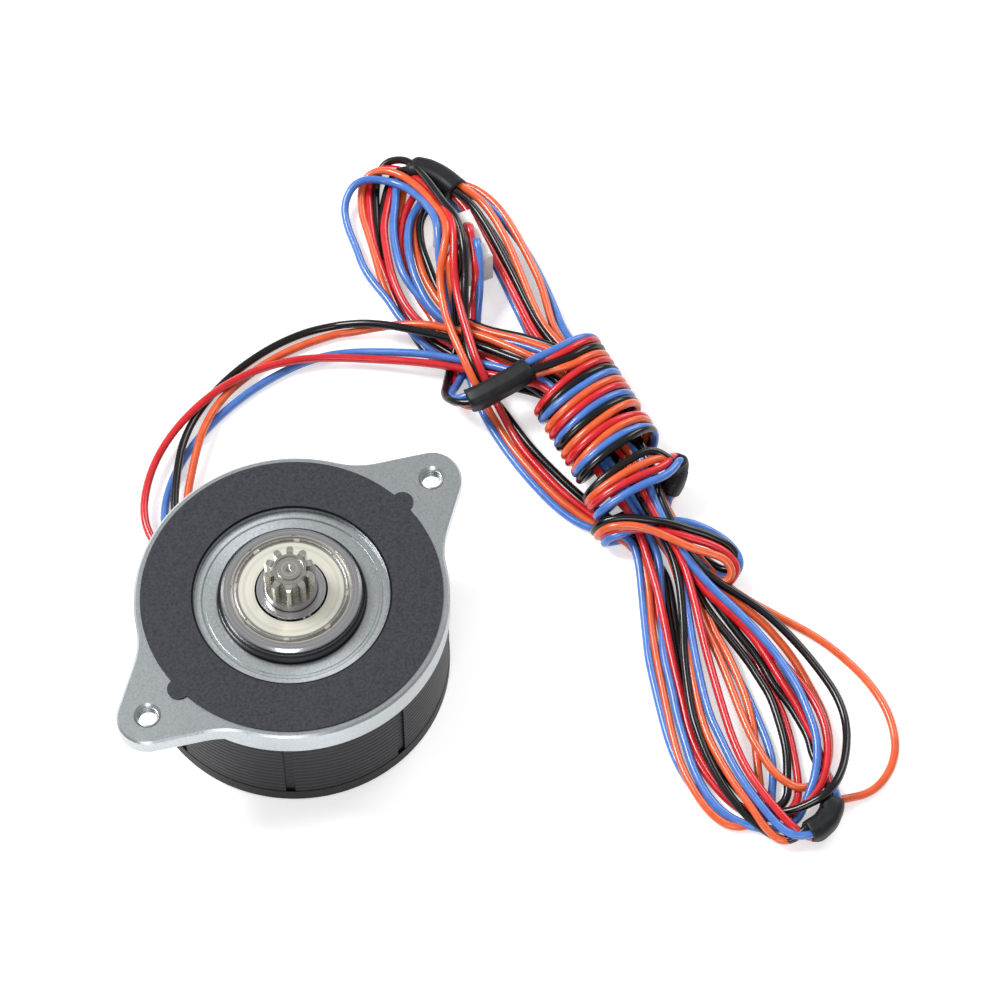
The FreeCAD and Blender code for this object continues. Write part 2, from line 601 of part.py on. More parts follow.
def wave_washer_solid():
    """Thin ring whose height follows a sine wave, made of flat triangles."""
    steps = 12 * int(value("washer_waves"))
    outside = value(REAR_SEAT) - 0.1
    inside = outside - value("washer_width")
    sheet_height = value("washer_thickness")
    swing = (value("washer_height") - sheet_height) / 2
    rings = {}
    for name, radius, lift in (("in_low", inside, 0), ("out_low", outside, 0),
                               ("in_high", inside, sheet_height), ("out_high", outside, sheet_height)):
        rings[name] = []
        for step in range(steps):
            degrees = step * 360.0 / steps
            wave = swing * (1 + math.cos(math.radians(value("washer_waves") * degrees)))
            rings[name].append(at_angle(radius, degrees, value("cap_floor") + wave + lift))
    faces = []
    for first, second in (("in_low", "out_low"), ("out_low", "out_high"),
                          ("out_high", "in_high"), ("in_high", "in_low")):
        for step in range(steps):
            after = (step + 1) % steps
            a, b = rings[first][step], rings[first][after]
            c, d = rings[second][after], rings[second][step]
            faces.append(Part.Face(Part.makePolygon([a, b, c, a])))
            faces.append(Part.Face(Part.makePolygon([a, c, d, a])))
    solid = Part.Solid(Part.Shell(faces))
    if solid.Volume < 0:
        solid.reverse()
    return solid


wave_washer = shaped("wave_washer", wave_washer_solid())


# Shaft: a turned bar with the pinion's teeth cut in its front end.

def pinion_outline():
    """Closed outline of the pinion: root arcs, involute flanks and tip arcs."""
    count = int(value("gear_teeth"))
    pitch_radius = value("gear_module * gear_teeth / 2")
    base_radius = pitch_radius * math.cos(math.radians(value("gear_pressure_angle")))
    tip = value("gear_tip_diameter / 2")
    root = value("gear_root_diameter / 2")

    def involute_turn(radius):
        """Angle of the involute at a radius, in degrees."""
        lean = math.acos(min(1.0, base_radius / radius))
        return math.degrees(math.tan(lean) - lean)

    start = max(base_radius, root)
    half_tooth = 90.0 / count + involute_turn(pitch_radius)
    flank_radii = [start + (tip - start) * share for share in (0.0, 0.25, 0.5, 0.75, 1.0)]
    edges = []
    for tooth in range(count):
        centre = value("gear_turn") + tooth * 360.0 / count
        rising = [at_angle(r, centre - half_tooth + involute_turn(r)) for r in flank_radii]
        falling = [at_angle(r, centre + half_tooth - involute_turn(r)) for r in reversed(flank_radii)]
        foot_in = at_angle(root, centre - half_tooth)
        foot_out = at_angle(root, centre + half_tooth)
        next_foot = at_angle(root, centre + 360.0 / count - half_tooth)
        for points in (rising, falling):
            curve = Part.BSplineCurve()
            curve.interpolate(points)
            if points is rising:
                edges.append(Part.LineSegment(foot_in, rising[0]).toShape())
                edges.append(curve.toShape())
                edges.append(Part.Arc(rising[-1], at_angle(tip, centre), falling[0]).toShape())
            else:
                edges.append(curve.toShape())
                edges.append(Part.LineSegment(falling[-1], foot_out).toShape())
        edges.append(Part.Arc(foot_out, at_angle(root, centre + 180.0 / count), next_foot).toShape())
    return edges


teeth_bar = shaped("teeth_bar", face_of(pinion_outline()).extrude(FreeCAD.Vector(0, 0, value("gear_length"))))
teeth_bar.Placement.Base.z = value(GEAR_BASE)
teeth_envelope = turned_body("teeth_envelope", [
    ("0", GEAR_BASE),
    ("shaft_diameter", GEAR_BASE),
    ("shaft_diameter", f"{GEAR_TOP} - gear_tip_chamfer - shaft_diameter + gear_tip_diameter / 2"),
    ("gear_tip_diameter / 2 - gear_tip_chamfer", GEAR_TOP),
    ("face_groove_diameter / 2 + face_groove_width / 2", GEAR_TOP),
    ("face_groove_diameter / 2 + face_groove_width / 2", f"{GEAR_TOP} - face_groove_depth"),
    ("face_groove_diameter / 2 - face_groove_width / 2", f"{GEAR_TOP} - face_groove_depth"),
    ("face_groove_diameter / 2 - face_groove_width / 2", GEAR_TOP),
    ("centre_dimple_radius", GEAR_TOP),
    ("0", f"{GEAR_TOP} - centre_dimple_depth"),
])
pinion = doc.addObject("Part::Common", "pinion")
pinion.Base = teeth_bar
pinion.Tool = teeth_envelope
shaft_bar = turned_body("shaft_bar", [
    ("0", "shaft_end_inset"),
    ("shaft_rear_diameter / 2 - shaft_end_chamfer", "shaft_end_inset"),
    ("shaft_rear_diameter / 2", "shaft_end_inset + shaft_end_chamfer"),
    ("shaft_rear_diameter / 2", REAR_TOP),
    ("shoulder_diameter / 2", REAR_TOP),
    ("shoulder_diameter / 2", f"{REAR_TOP} + shoulder_length"),
    ("shaft_diameter / 2", f"{REAR_TOP} + shoulder_length"),
    ("shaft_diameter / 2", GEAR_BASE),
    ("0", GEAR_BASE),
])
gear_shaft = fused("gear_shaft", [shaft_bar, pinion])


# Rotor: two toothed stacks half a tooth apart, with the magnet between them.

def toothed_disc(height, first):
    """Disc with small straight-sided teeth, bored for the shaft."""
    count = int(value("rotor_teeth"))
    pitch = 360.0 / count
    half = pitch * value("rotor_tooth_share") / 2
    tip = value("rotor_diameter / 2")
    root = tip - value("tooth_depth")
    points = []
    for tooth in range(count):
        centre = first + tooth * pitch
        for radius, turn in ((root, -half), (tip, -half), (tip, half), (root, half)):
            points.append(at_angle(radius, centre + turn))
    disc = Part.Face(Part.makePolygon(points + points[:1])).extrude(FreeCAD.Vector(0, 0, height))
    bore = Part.makeCylinder(value(SHAFT_BORE), height + 2)
    bore.translate(FreeCAD.Vector(0, 0, -1))
    return disc.cut(bore)


rotor_tooth_pitch = value("360 / rotor_teeth")
rotor_rear_stack = shaped("rotor_rear_stack", toothed_disc(value(STACK_RISE), 0.0))
rotor_rear_stack.Placement.Base.z = value(ROTOR_BASE)
rotor_front_stack = shaped("rotor_front_stack", toothed_disc(value(STACK_RISE), rotor_tooth_pitch / 2))
rotor_front_stack.Placement.Base.z = value(ROTOR_TOP) - value(STACK_RISE)
rotor_magnet = minus("rotor_magnet", cylinder("magnet_disc", "magnet_diameter / 2", "magnet_thickness",
                                              f"{ROTOR_BASE} + {STACK_RISE}"),
                     [cylinder("magnet_bore", SHAFT_BORE, "magnet_thickness + 2",
                               f"{ROTOR_BASE} + {STACK_RISE} - 1")])
rotor_spacer = turned_body("rotor_spacer", [
    (SHAFT_BORE, ROTOR_TOP),
    (f"{SHAFT_BORE} + spacer_wall", ROTOR_TOP),
    (f"{SHAFT_BORE} + spacer_wall", FRONT_BASE),
    (SHAFT_BORE, FRONT_BASE),
])


# Stator: one lamination outline, extruded over the stack's length.

def lamination():
    """Face of one lamination: seam grooves outside, eight toothed poles inside."""
    poles = int(value("pole_count"))
    outside = value("stack_diameter / 2")
    slot = value("slot_diameter / 2")
    neck = value("pole_width / 2")
    shoe_root = value("pole_shoe_root / 2")
    shoe_edge = value("pole_shoe_edge / 2")
    bore = value(STATOR_BORE)
    teeth = int(value("pole_teeth"))
    pitch = rotor_tooth_pitch
    half = pitch * value("stator_tooth_share") / 2
    edges = []
    for pole in range(poles):
        centre = pole * 360.0 / poles
        span = (teeth - 1) * pitch / 2 + half
        tooth_points = [at_angle(shoe_edge, centre - span)]
        for tooth in range(teeth):
            middle = centre - (teeth - 1) * pitch / 2 + tooth * pitch
            if tooth > 0:
                tooth_points.append(at_angle(bore + value("tooth_depth"), middle - half))
            tooth_points.append(at_angle(bore, middle - half))
            tooth_points.append(at_angle(bore, middle + half))
            if tooth < teeth - 1:
                tooth_points.append(at_angle(bore + value("tooth_depth"), middle + half))
        tooth_points.append(at_angle(shoe_edge, centre + span))
        neck_turn = math.degrees(math.asin(neck / slot))
        shoe_turn = math.degrees(math.asin(neck / shoe_root))
        points = [at_angle(slot, centre - neck_turn), at_angle(shoe_root, centre - shoe_turn)]
        points += tooth_points
        points += [at_angle(shoe_root, centre + shoe_turn), at_angle(slot, centre + neck_turn)]
        edges += [Part.LineSegment(a, b).toShape() for a, b in zip(points, points[1:])]
        next_foot = at_angle(slot, centre + 360.0 / poles - neck_turn)
        edges.append(Part.Arc(points[-1], at_angle(slot, centre + 180.0 / poles), next_foot).toShape())
    opening = face_of(edges)
    disc = Part.Face(Part.Wire(Part.makeCircle(outside)))
    groove = Part.makeBox(2 * value("seam_depth"), value("seam_width"), 2)
    groove.translate(FreeCAD.Vector(outside - value("seam_depth"), -value("seam_width") / 2, -1))
    return disc.cut([opening] + around(groove, poles)).Faces[0]


stack_blank = shaped("stack_blank", lamination().extrude(
    FreeCAD.Vector(0, 0, value(RIM_BASE) - value("cap_height"))))
stack_blank.Placement.Base.z = value("cap_height")
stator_stack = minus("stator_stack", stack_blank, screw_posts(
    "stack_screw_hole", "screw_diameter / 2 + press_gap", "cap_height - 1", f"{RIM_BASE} - cap_height + 2"))

# Winding: sizes of one coil about its pole, which points along +X before it is turned into place.

COIL_IN = value("pole_width / 2 + insulator_skin + coil_gap")
COIL_OUT = COIL_IN + value("coil_build")
SLOT_REACH = math.sqrt(value("slot_diameter / 2") ** 2 - COIL_OUT ** 2)
BOBBIN_OUTER = SLOT_REACH - value("coil_gap")
BOBBIN_INNER = value("pole_shoe_root / 2") + value("insulator_wall")
STACK_BASE = value("cap_height")
STACK_TOP = value(RIM_BASE)


def rounded_frame(half_width, half_height, corner):
    """Face of a rounded rectangle in the YZ plane, centred on the X axis."""
    y, z = half_width - corner, half_height - corner
    diagonal = corner * math.sqrt(0.5)
    edges = []
    for sy, sz, up_first in ((1, 1, True), (-1, 1, False), (-1, -1, True), (1, -1, False)):
        side = FreeCAD.Vector(0, sy * (y + corner), sz * z)
        end = FreeCAD.Vector(0, sy * y, sz * (z + corner))
        bend = FreeCAD.Vector(0, sy * (y + diagonal), sz * (z + diagonal))
        first, last = (side, end) if up_first else (end, side)
        edges.append(Part.Arc(first, bend, last).toShape())
    for index in range(4):
        start = edges[index].Vertexes[-1].Point
        finish = edges[(index + 1) % 4].Vertexes[0].Point
        edges.append(Part.LineSegment(start, finish).toShape())
    return Part.Face(Part.Wire(Part.__sortEdges__(edges)))


def coil():
    """One winding: a rounded frame of copper about the pole."""
    middle = (STACK_BASE + STACK_TOP) / 2
    inner_height = (STACK_TOP - STACK_BASE) / 2 + value("insulator_plate + coil_gap")
    outer_height = inner_height + value("coil_end_build")
    inner = rounded_frame(COIL_IN, inner_height, value("coil_gap"))
    outer = rounded_frame(COIL_OUT, outer_height, value("coil_build") * 0.8)
    length = BOBBIN_OUTER - BOBBIN_INNER - 2 * value("coil_gap")
    frame = outer.cut(inner).extrude(FreeCAD.Vector(length, 0, 0))
    frame.translate(FreeCAD.Vector(BOBBIN_INNER + value("coil_gap"), 0, middle))
    return frame


stator_coils = shaped("stator_coils", Part.makeCompound(around(coil(), int(value("pole_count")))))


def block(low, high):
    """Box between two corners."""
    size = [b - a for a, b in zip(low, high)]
    box = Part.makeBox(*size)
    box.translate(FreeCAD.Vector(*low))
    return box


def insulator(front):
    """Bobbins of one end in one moulding: walls and skins on eight poles, joined by a notched ring."""
    plate, wall = value("insulator_plate"), value("insulator_wall")
    skin_in = value("pole_width / 2 + coil_gap / 2")
    skin_out = value("pole_width / 2 + insulator_skin")
    rise = value("insulator_height")
    depth = (STACK_TOP - STACK_BASE) / 2 - wall
    ring_in = value("slot_diameter / 2") + value("coil_gap")
    ring_out = value("insulator_ring / 2")
    inner_foot = BOBBIN_INNER - wall
    pole = [
        block((inner_foot, -skin_out, 0), (ring_out - wall, skin_out, plate)),
        block((inner_foot, -COIL_OUT, 0), (BOBBIN_INNER, COIL_OUT, rise)),
        block((BOBBIN_OUTER, -COIL_OUT, 0), (BOBBIN_OUTER + wall, COIL_OUT, rise)),
        block((BOBBIN_INNER, skin_in, -depth), (BOBBIN_OUTER - wall, skin_out, plate)),
        block((BOBBIN_INNER, -skin_out, -depth), (BOBBIN_OUTER - wall, -skin_in, plate)),
    ]
    pole = pole[0].fuse(pole[1:])
    disc = Part.makeCylinder(ring_out, plate)
    ring = disc.cut(Part.makeCylinder(ring_in, plate))
    notch_radius = value("screw_boss_diameter / 2") + 0.15
    notches, bridges = [], []
    for degrees in screw_places():
        place = at_angle(value("screw_circle / 2"), degrees)
        bridge = Part.makeCylinder(notch_radius + wall, plate, place)
        bridges.append(bridge.common(disc))
        notches.append(Part.makeCylinder(notch_radius, 4 * rise, place - FreeCAD.Vector(0, 0, 2 * rise)))
    moulding = ring.fuse(bridges + around(pole, int(value("pole_count"))))
    moulding = moulding.cut(notches).removeSplitter()
    if not front:
        moulding = moulding.mirror(FreeCAD.Vector(0, 0, 0), FreeCAD.Vector(0, 0, 1))
    moulding.translate(FreeCAD.Vector(0, 0, STACK_TOP if front else STACK_BASE))
    return moulding


front_insulator = shaped("front_insulator", insulator(True))
rear_insulator = shaped("rear_insulator", insulator(False))

# Rear cap: a shallow turned cup with the rear bearing's hub, screw bosses and a slot for the leads.

cap_cup = turned_body("cap_cup", [
    ("cap_hole_diameter / 2", "0"),
    ("cap_diameter / 2 - cap_chamfer", "0"),
    ("cap_diameter / 2", "cap_chamfer"),
    ("cap_diameter / 2", "cap_height"),
    (CAP_BORE, "cap_height"),
    (CAP_BORE, "cap_floor"),
    (f"{REAR_SEAT} + cap_hub_wall", "cap_floor"),
    (f"{REAR_SEAT} + cap_hub_wall", f"{REAR_TOP} - cap_hub_inset"),
    (REAR_SEAT, f"{REAR_TOP} - cap_hub_inset"),
    (REAR_SEAT, "cap_floor"),
    ("cap_hole_diameter / 2", "cap_floor"),
])
cap_bosses = screw_posts("cap_boss", "screw_boss_diameter / 2", "cap_floor / 2", "cap_height - cap_floor / 2")
cap_round = cylinder("cap_round", "cap_diameter / 2", "cap_height")
cap_boss_set = fused("cap_boss_set", cap_bosses)
cap_bosses_trimmed = doc.addObject("Part::Common", "cap_bosses_trimmed")
cap_bosses_trimmed.Base = cap_boss_set
cap_bosses_trimmed.Tool = cap_round
cap_blank = fused("cap_blank", [cap_cup, cap_bosses_trimmed])
cap_cutters = screw_posts("cap_screw_hole", "screw_diameter / 2 + press_gap", "-1", "cap_height + 2")
for number, degrees in enumerate(screw_places(), start=1):
    cap_cutters.append(cone(f"cap_countersink_{number}", "screw_head_diameter / 2 + press_gap",
                            "screw_diameter / 2 + press_gap", "screw_head_height", "0",
                            f"screw_circle / 2 * cos({degrees} * 1 deg)",
                            f"screw_circle / 2 * sin({degrees} * 1 deg)"))

# Grommet for the leads, in a slot of the cap's wall under the stack.

LEAD_ROW = [value("lead_pitch") * (place - 1.5) for place in range(4)]
GROMMET_HALF = LEAD_ROW[-1] + value("grommet_side")
GROMMET_FACE = value("cap_diameter / 2 + grommet_stand_out")
GROMMET_BACK = GROMMET_FACE - value("grommet_length")
fit_gap = value("press_gap")
grommet_slot = shaped("grommet_slot", block(
    (-GROMMET_HALF - fit_gap, value(CAP_BORE) - value("cap_wall"), value("cap_floor")),
    (GROMMET_HALF + fit_gap, GROMMET_FACE + value("cap_wall"), value("cap_height") + 1)))
rear_cap = minus("rear_cap", cap_blank, cap_cutters + [grommet_slot])


def lead_holes(diameter):
    """Four bars along Y where the leads pass."""
    bars = []
    for across in LEAD_ROW:
        bars.append(Part.makeCylinder(diameter / 2, 4 * value("grommet_length"),
                                      FreeCAD.Vector(across, GROMMET_BACK - value("grommet_length"),
                                                     value("lead_height")),
                                      FreeCAD.Vector(0, 1, 0)))
    return bars


grommet_block = block((-GROMMET_HALF, GROMMET_BACK, value("cap_floor")),
                      (GROMMET_HALF, GROMMET_FACE, value("cap_height")))
lead_grommet = shaped("lead_grommet", grommet_block.cut(lead_holes(value("lead_diameter + 2 * press_gap"))))

BOARD_BACK = value("insulator_ring / 2 + board_gap")
BOARD_FACE = BOARD_BACK + value("board_thickness")
terminal_board = shaped("terminal_board", block(
    (-GROMMET_HALF, BOARD_BACK, value("cap_floor")), (GROMMET_HALF, BOARD_FACE, value("cap_height") - 0.1)))


# Assembly screws: countersunk head flush in the cap, shank through the stack into the flange.

def assembly_screw():
    """One screw standing on its head, with a hexagon socket."""
    head = value("screw_head_height")
    shank_radius = value("screw_diameter / 2")
    top = value("body_length - screw_end_gap") - 0.1
    head_solid = Part.makeCone(value("screw_head_diameter / 2"), shank_radius, head)
    shank = Part.makeCylinder(shank_radius, top - head)
    shank.translate(FreeCAD.Vector(0, 0, head))
    tip = Part.makeCone(top * 2 + shank_radius, 0, top * 2 + shank_radius)
    tip.translate(FreeCAD.Vector(0, 0, -top + shank_radius * 0.4))
    reach = value("screw_socket_width / 2") / math.cos(math.radians(30))
    corners = [at_angle(reach, 60.0 * corner) for corner in range(7)]
    socket = Part.Face(Part.makePolygon(corners)).extrude(FreeCAD.Vector(0, 0, value("screw_socket_depth")))
    return head_solid.fuse(shank).common(tip).cut(socket)


screws = []
for degrees in screw_places():
    screw = assembly_screw()
    screw.translate(at_angle(value("screw_circle / 2"), degrees))
    screws.append(screw)
assembly_screws = shaped("assembly_screws", Part.makeCompound(screws))

# Free stretches of the leads: from the terminal board through the grommet, along the table, to the hank.
# The points are drawn from the grommet's face for a hank of the drawn length, with heights in lead diameters
# that lift one lead over another.

DRAWN_LENGTH = 104.0


def laid(across, along, height=0.0):
    """Point of the leads' way as it lies beside the motor."""
    unit = value("hank_length") / DRAWN_LENGTH
    return FreeCAD.Vector(across * unit, GROMMET_FACE + along * unit, height * value("lead_diameter"))


LEAD_ROUTES = {
    "red_lead": [(-2.3, 4.7, 1.5), (-0.9, 8.4, 1.6), (2.3, 11.5, 1.6), (6.5, 13.9, 1.6), (11.5, 15.2, 1.85),
                 (17.2, 15.5, 1.85), (22.8, 14.3, 1.85), (28.2, 11.4, 1.8), (32.8, 7.1, 1.75),
                 (37.4, 1.9, 1.0), (42.8, -4.3, 1.0)],
    "blue_lead": [(-0.5, 4.5, 0.7), (1.6, 7.7, 0.55), (5.2, 10.4, 0.55), (10.0, 12.3, 0.55),
                  (15.6, 13.2, 0.55), (21.6, 13.1, 0.55), (27.4, 11.7, 0.55), (32.6, 8.7, 0.55),
                  (37.2, 4.2, 0.55), (42.6, -2.3, 1.0)],
    "black_lead": [(0.9, 4.3, 1.5), (2.9, 7.1, 1.65), (6.0, 10.1, 1.75), (9.6, 13.1, 1.6), (14.4, 15.5, 0.6),
                   (20.2, 16.5, 0.55), (26.2, 16.1, 0.55), (31.8, 14.3, 0.55), (36.8, 10.7, 0.55),
                   (40.4, 5.9, 0.6), (43.4, 0.1, 1.0)],
    "orange_lead": [(2.5, 4.3, 1.2), (4.8, 7.0, 1.2), (8.4, 9.8, 1.5), (12.2, 12.5, 1.8), (17.2, 14.6, 1.1),
                    (22.8, 15.0, 0.55), (28.2, 14.4, 0.75), (33.2, 12.3, 1.5), (38.0, 9.3, 1.75),
                    (41.6, 5.5, 1.7), (44.4, 0.7, 1.7)],
}


def lead_tube(name, route, across):
    """Tube along straight runs joined by tangent arcs, each as large as its runs allow."""
    height = value("lead_height")
    points = [FreeCAD.Vector(across, BOARD_FACE, height),
              FreeCAD.Vector(across, GROMMET_FACE + 1.2 * value("lead_diameter"), height)]
    points += [laid(*point) for point in route]
    edges = []
    here = points[0]
    radii = []
    for before, corner, after in zip(points, points[1:], points[2:]):
        arriving = corner - before
        leaving = after - corner
        turn = arriving.getAngle(leaving)
        trim = 0.45 * min(arriving.Length, leaving.Length)
        radius = trim / math.tan(turn / 2)
        radii.append(round(radius, 1))
        start = corner - arriving.normalize() * trim
        end = corner + leaving.normalize() * trim
        inwards = ((start + end) * 0.5 - corner).normalize()
        middle = corner + inwards * (math.hypot(trim, radius) - radius)
        edges.append(Part.LineSegment(here, start).toShape())
        edges.append(Part.Arc(start, middle, end).toShape())
        here = end
    edges.append(Part.LineSegment(here, points[-1]).toShape())
    path = Part.Wire(edges)
    radius = value("lead_diameter / 2")
    ring = Part.Wire(Part.makeCircle(radius, points[0], points[1] - points[0]))
    tube = path.makePipeShell([ring], True, True)
    expected = math.pi * radius * radius * path.Length
    if abs(tube.Volume - expected) > 0.01 * expected:
        raise RuntimeError(name + ": the tube's volume is off")
    print(name, "length", round(path.Length, 1), "radii", radii)
    return tube


leads = []
for across, (name, route) in zip(LEAD_ROW, LEAD_ROUTES.items()):
    leads.append(shaped(name, lead_tube(name, route, across)))


# Hank: two flat loops and the wrapped neck between them, as one outer shape.

def taper_outline(big, big_radius, small, small_radius, height):
    """Solid round two circles and their common tangents, of the given height."""
    unit = value("hank_length") / DRAWN_LENGTH
    big_centre, small_centre = laid(*big), laid(*small)
    big_radius, small_radius = big_radius * unit, small_radius * unit
    way = small_centre - big_centre
    lean = math.asin((big_radius - small_radius) / way.Length)
    heading = math.atan2(way.y, way.x)

    def on_circle(centre, radius, angle):
        return centre + FreeCAD.Vector(math.cos(angle), math.sin(angle), 0) * radius

    left, right = heading + math.pi / 2 - lean, heading - math.pi / 2 + lean
    edges = [
        Part.Arc(on_circle(big_centre, big_radius, left),
                 on_circle(big_centre, big_radius, heading + math.pi),
                 on_circle(big_centre, big_radius, right)).toShape(),
        Part.LineSegment(on_circle(big_centre, big_radius, right),
                         on_circle(small_centre, small_radius, right)).toShape(),
        Part.Arc(on_circle(small_centre, small_radius, right), on_circle(small_centre, small_radius, heading),
                 on_circle(small_centre, small_radius, left)).toShape(),
        Part.LineSegment(on_circle(small_centre, small_radius, left),
                         on_circle(big_centre, big_radius, left)).toShape(),
    ]
    return face_of(edges).extrude(FreeCAD.Vector(0, 0, height))


UPPER_LOOP = {"big": (51.1, 16.3), "big_radius": 10.3, "small": (47.2, -6.3), "small_radius": 7.4}
UPPER_GAP = {"big": (52.6, 12.7), "big_radius": 4.9, "small": (51.2, 1.6), "small_radius": 2.6}
LOWER_LOOP = {"big": (33.4, -64.1), "big_radius": 13.2, "small": (43.0, -32.9), "small_radius": 7.4}
LOWER_GAP = {"big": (33.8, -63.9), "big_radius": 4.2, "small": (38.0, -48.9), "small_radius": 1.0}
SIDE_RUN = {"big": (38.6, -7.1), "big_radius": 4.2, "small": (37.2, -31.4), "small_radius": 2.2}
BULGE = {"big": (44.0, -43.5), "big_radius": 4.4, "small": (43.2, -31.9), "small_radius": 6.4}
NECK_START = laid(49.6, -9.4)
NECK_HEADING = FreeCAD.Vector(-0.276, -0.961, 0).normalize()

# Start and end of each shrink sleeve: beside the neck, at the upper loop's corner, on the loose turn's right
# side, and at the lower loop's end.
SLEEVES = [
    ((45.1, -10.5, 6.1), (36.9, -8.2, 4.2)),
    ((57.0, 22.0, 2.0), (59.0, 16.4, 2.0)),
    ((50.4, -31.2, 5.6), (48.2, -32.6, 1.7)),
    ((31.0, -74.4, 2.0), (25.6, -76.0, 2.0)),
]
HOUSING_CENTRE = laid(52.4, 8.9)
HOUSING_TURN = 69.0


def sleeve_bar(start, end, radius, extra=0.0):
    """Bar along a sleeve, longer by some extra at each end."""
    low, high = laid(*start), laid(*end)
    way = (high - low).normalize()
    return Part.makeCylinder(radius, (high - low).Length + 2 * extra, low - way * extra, way)


def on_housing(shape):
    """Shape drawn at the origin, moved to the connector's place."""
    placed = shape.copy()
    placed.rotate(FreeCAD.Vector(0, 0, 0), FreeCAD.Vector(0, 0, 1), HOUSING_TURN)
    placed.translate(HOUSING_CENTRE)
    return placed


def housing_block(grow=0.0):
    """Outer block of the connector, standing on its mating side."""
    half_length = value("housing_length / 2") + grow
    half_width = value("housing_width / 2") + grow
    return block((-half_length, -half_width, 0), (half_length, half_width, value("housing_depth") + grow))


def contact_places():
    """Centres of the four wire holes."""
    step = value("housing_pitch / 2")
    return [(sx * step, sy * step) for sx in (-1, 1) for sy in (-1, 1)]


housing = housing_block()
wire_side = [edge for edge in housing.Edges
             if all(abs(vertex.Z - value("housing_depth")) < 1e-6 for vertex in edge.Vertexes)]
housing = housing.makeChamfer(value("housing_chamfer"), wire_side)
wire_holes = []
contacts = []
for across, along in contact_places():
    hole = Part.makeCylinder(value("housing_hole / 2"), value("housing_depth") + 2)
    hole.translate(FreeCAD.Vector(across, along, -1))
    wire_holes.append(hole)
    half = value("contact_width / 2")
    wall = half * 0.7
    shell = block((across - half, along - wall, 0.4),
                  (across + half, along + wall, 0.4 + value("contact_length")))
    inside = block((across - half * 0.6, along - wall * 0.6, 0), (across + half * 0.6, along + wall * 0.6,
                                                                  value("contact_length") * 0.6))
    contacts.append(on_housing(shell.cut(inside)))
connector_housing = shaped("connector_housing", on_housing(housing.cut(wire_holes)))
connector_contacts = shaped("connector_contacts", Part.makeCompound(contacts))

neck = Part.Face(Part.Wire(Part.Ellipse(
    NECK_START + FreeCAD.Vector(0, 0, value("neck_height / 2")),
    value("neck_width / 2"), value("neck_height / 2")).toShape()))
neck.rotate(NECK_START + FreeCAD.Vector(0, 0, value("neck_height / 2")), FreeCAD.Vector(1, 0, 0), 90)
neck_turn = math.degrees(math.atan2(NECK_HEADING.y, NECK_HEADING.x)) + 90
neck.rotate(NECK_START, FreeCAD.Vector(0, 0, 1), neck_turn)
neck = neck.extrude(NECK_HEADING * value("neck_length"))
loops = [taper_outline(height=value("hank_height"), **outline) for outline in (UPPER_LOOP, LOWER_LOOP)]
gaps = [taper_outline(height=value("hank_height"), **outline) for outline in (UPPER_GAP, LOWER_GAP)]
sides = [taper_outline(height=value("hank_height"), **outline) for outline in (SIDE_RUN, BULGE)]
hank = neck.fuse([loop.cut(gap) for loop, gap in zip(loops, gaps)] + sides)
pockets = [sleeve_bar(start, end, value("sleeve_diameter / 2 + press_gap"), value("press_gap"))
           for start, end in SLEEVES]
pockets.append(on_housing(housing_block(0.1)))
lead_hank = shaped("lead_hank", hank.cut(pockets).removeSplitter())

sleeves = []
for number, (start, end) in enumerate(SLEEVES, start=1):
    outside = sleeve_bar(start, end, value("sleeve_diameter / 2"))
    inside = sleeve_bar(start, end, value("sleeve_diameter / 2 - sleeve_wall"), value("sleeve_wall"))
    sleeves.append(shaped(f"lead_sleeve_{number}", outside.cut(inside)))

NODES = [front_flange, face_film] + bearing_parts + [
    wave_washer, gear_shaft, rotor_front_stack, rotor_rear_stack, rotor_magnet, rotor_spacer,
    stator_stack, front_insulator, rear_insulator, stator_coils, terminal_board, rear_cap, assembly_screws,
    lead_grommet,
] + leads + [lead_hank] + sleeves + [connector_housing, connector_contacts]

doc.recompute()
for feature in doc.Objects:
    if {"Invalid", "Error"} & set(feature.State):
        raise RuntimeError(feature.Name + " failed: " + ", ".join(feature.State))
for node in NODES:
    node.Label = node.Name
    if node.Shape.isNull() or not node.Shape.isValid():
        raise RuntimeError(node.Name + " has no valid shape")
for node in NODES:
    node.Shape.exportStep("parts/" + node.Label + ".step")
print(len(NODES), "nodes written")
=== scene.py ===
"""Dresses the flange stepper motor and its hank of leads for a studio picture."""

import logging
import math
from collections.abc import Mapping, Sequence
from dataclasses import dataclass, field
from enum import Enum

import bmesh
import bpy
from mathutils import Matrix, Vector


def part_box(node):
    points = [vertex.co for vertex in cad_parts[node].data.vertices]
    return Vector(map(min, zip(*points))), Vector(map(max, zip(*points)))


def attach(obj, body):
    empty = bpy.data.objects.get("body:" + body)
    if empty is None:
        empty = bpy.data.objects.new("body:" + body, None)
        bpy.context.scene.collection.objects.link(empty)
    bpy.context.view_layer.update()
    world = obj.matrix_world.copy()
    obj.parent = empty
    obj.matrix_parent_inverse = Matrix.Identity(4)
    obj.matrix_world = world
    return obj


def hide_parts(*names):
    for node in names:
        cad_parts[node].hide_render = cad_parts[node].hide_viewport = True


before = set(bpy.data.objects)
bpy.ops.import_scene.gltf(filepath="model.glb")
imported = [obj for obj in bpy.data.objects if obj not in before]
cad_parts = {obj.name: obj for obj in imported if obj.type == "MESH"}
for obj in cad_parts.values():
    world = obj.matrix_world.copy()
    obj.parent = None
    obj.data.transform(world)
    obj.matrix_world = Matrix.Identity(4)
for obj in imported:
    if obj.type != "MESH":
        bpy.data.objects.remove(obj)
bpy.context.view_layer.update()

LOG = logging.getLogger("stepper_motor")
MM = 0.001
UP = Vector((0.0, 0.0, 1.0))
Point = tuple[float, float, float]
Place = tuple[float, float]
Cell = tuple[int, int]
Socket = bpy.types.NodeSocket
Label = str | int


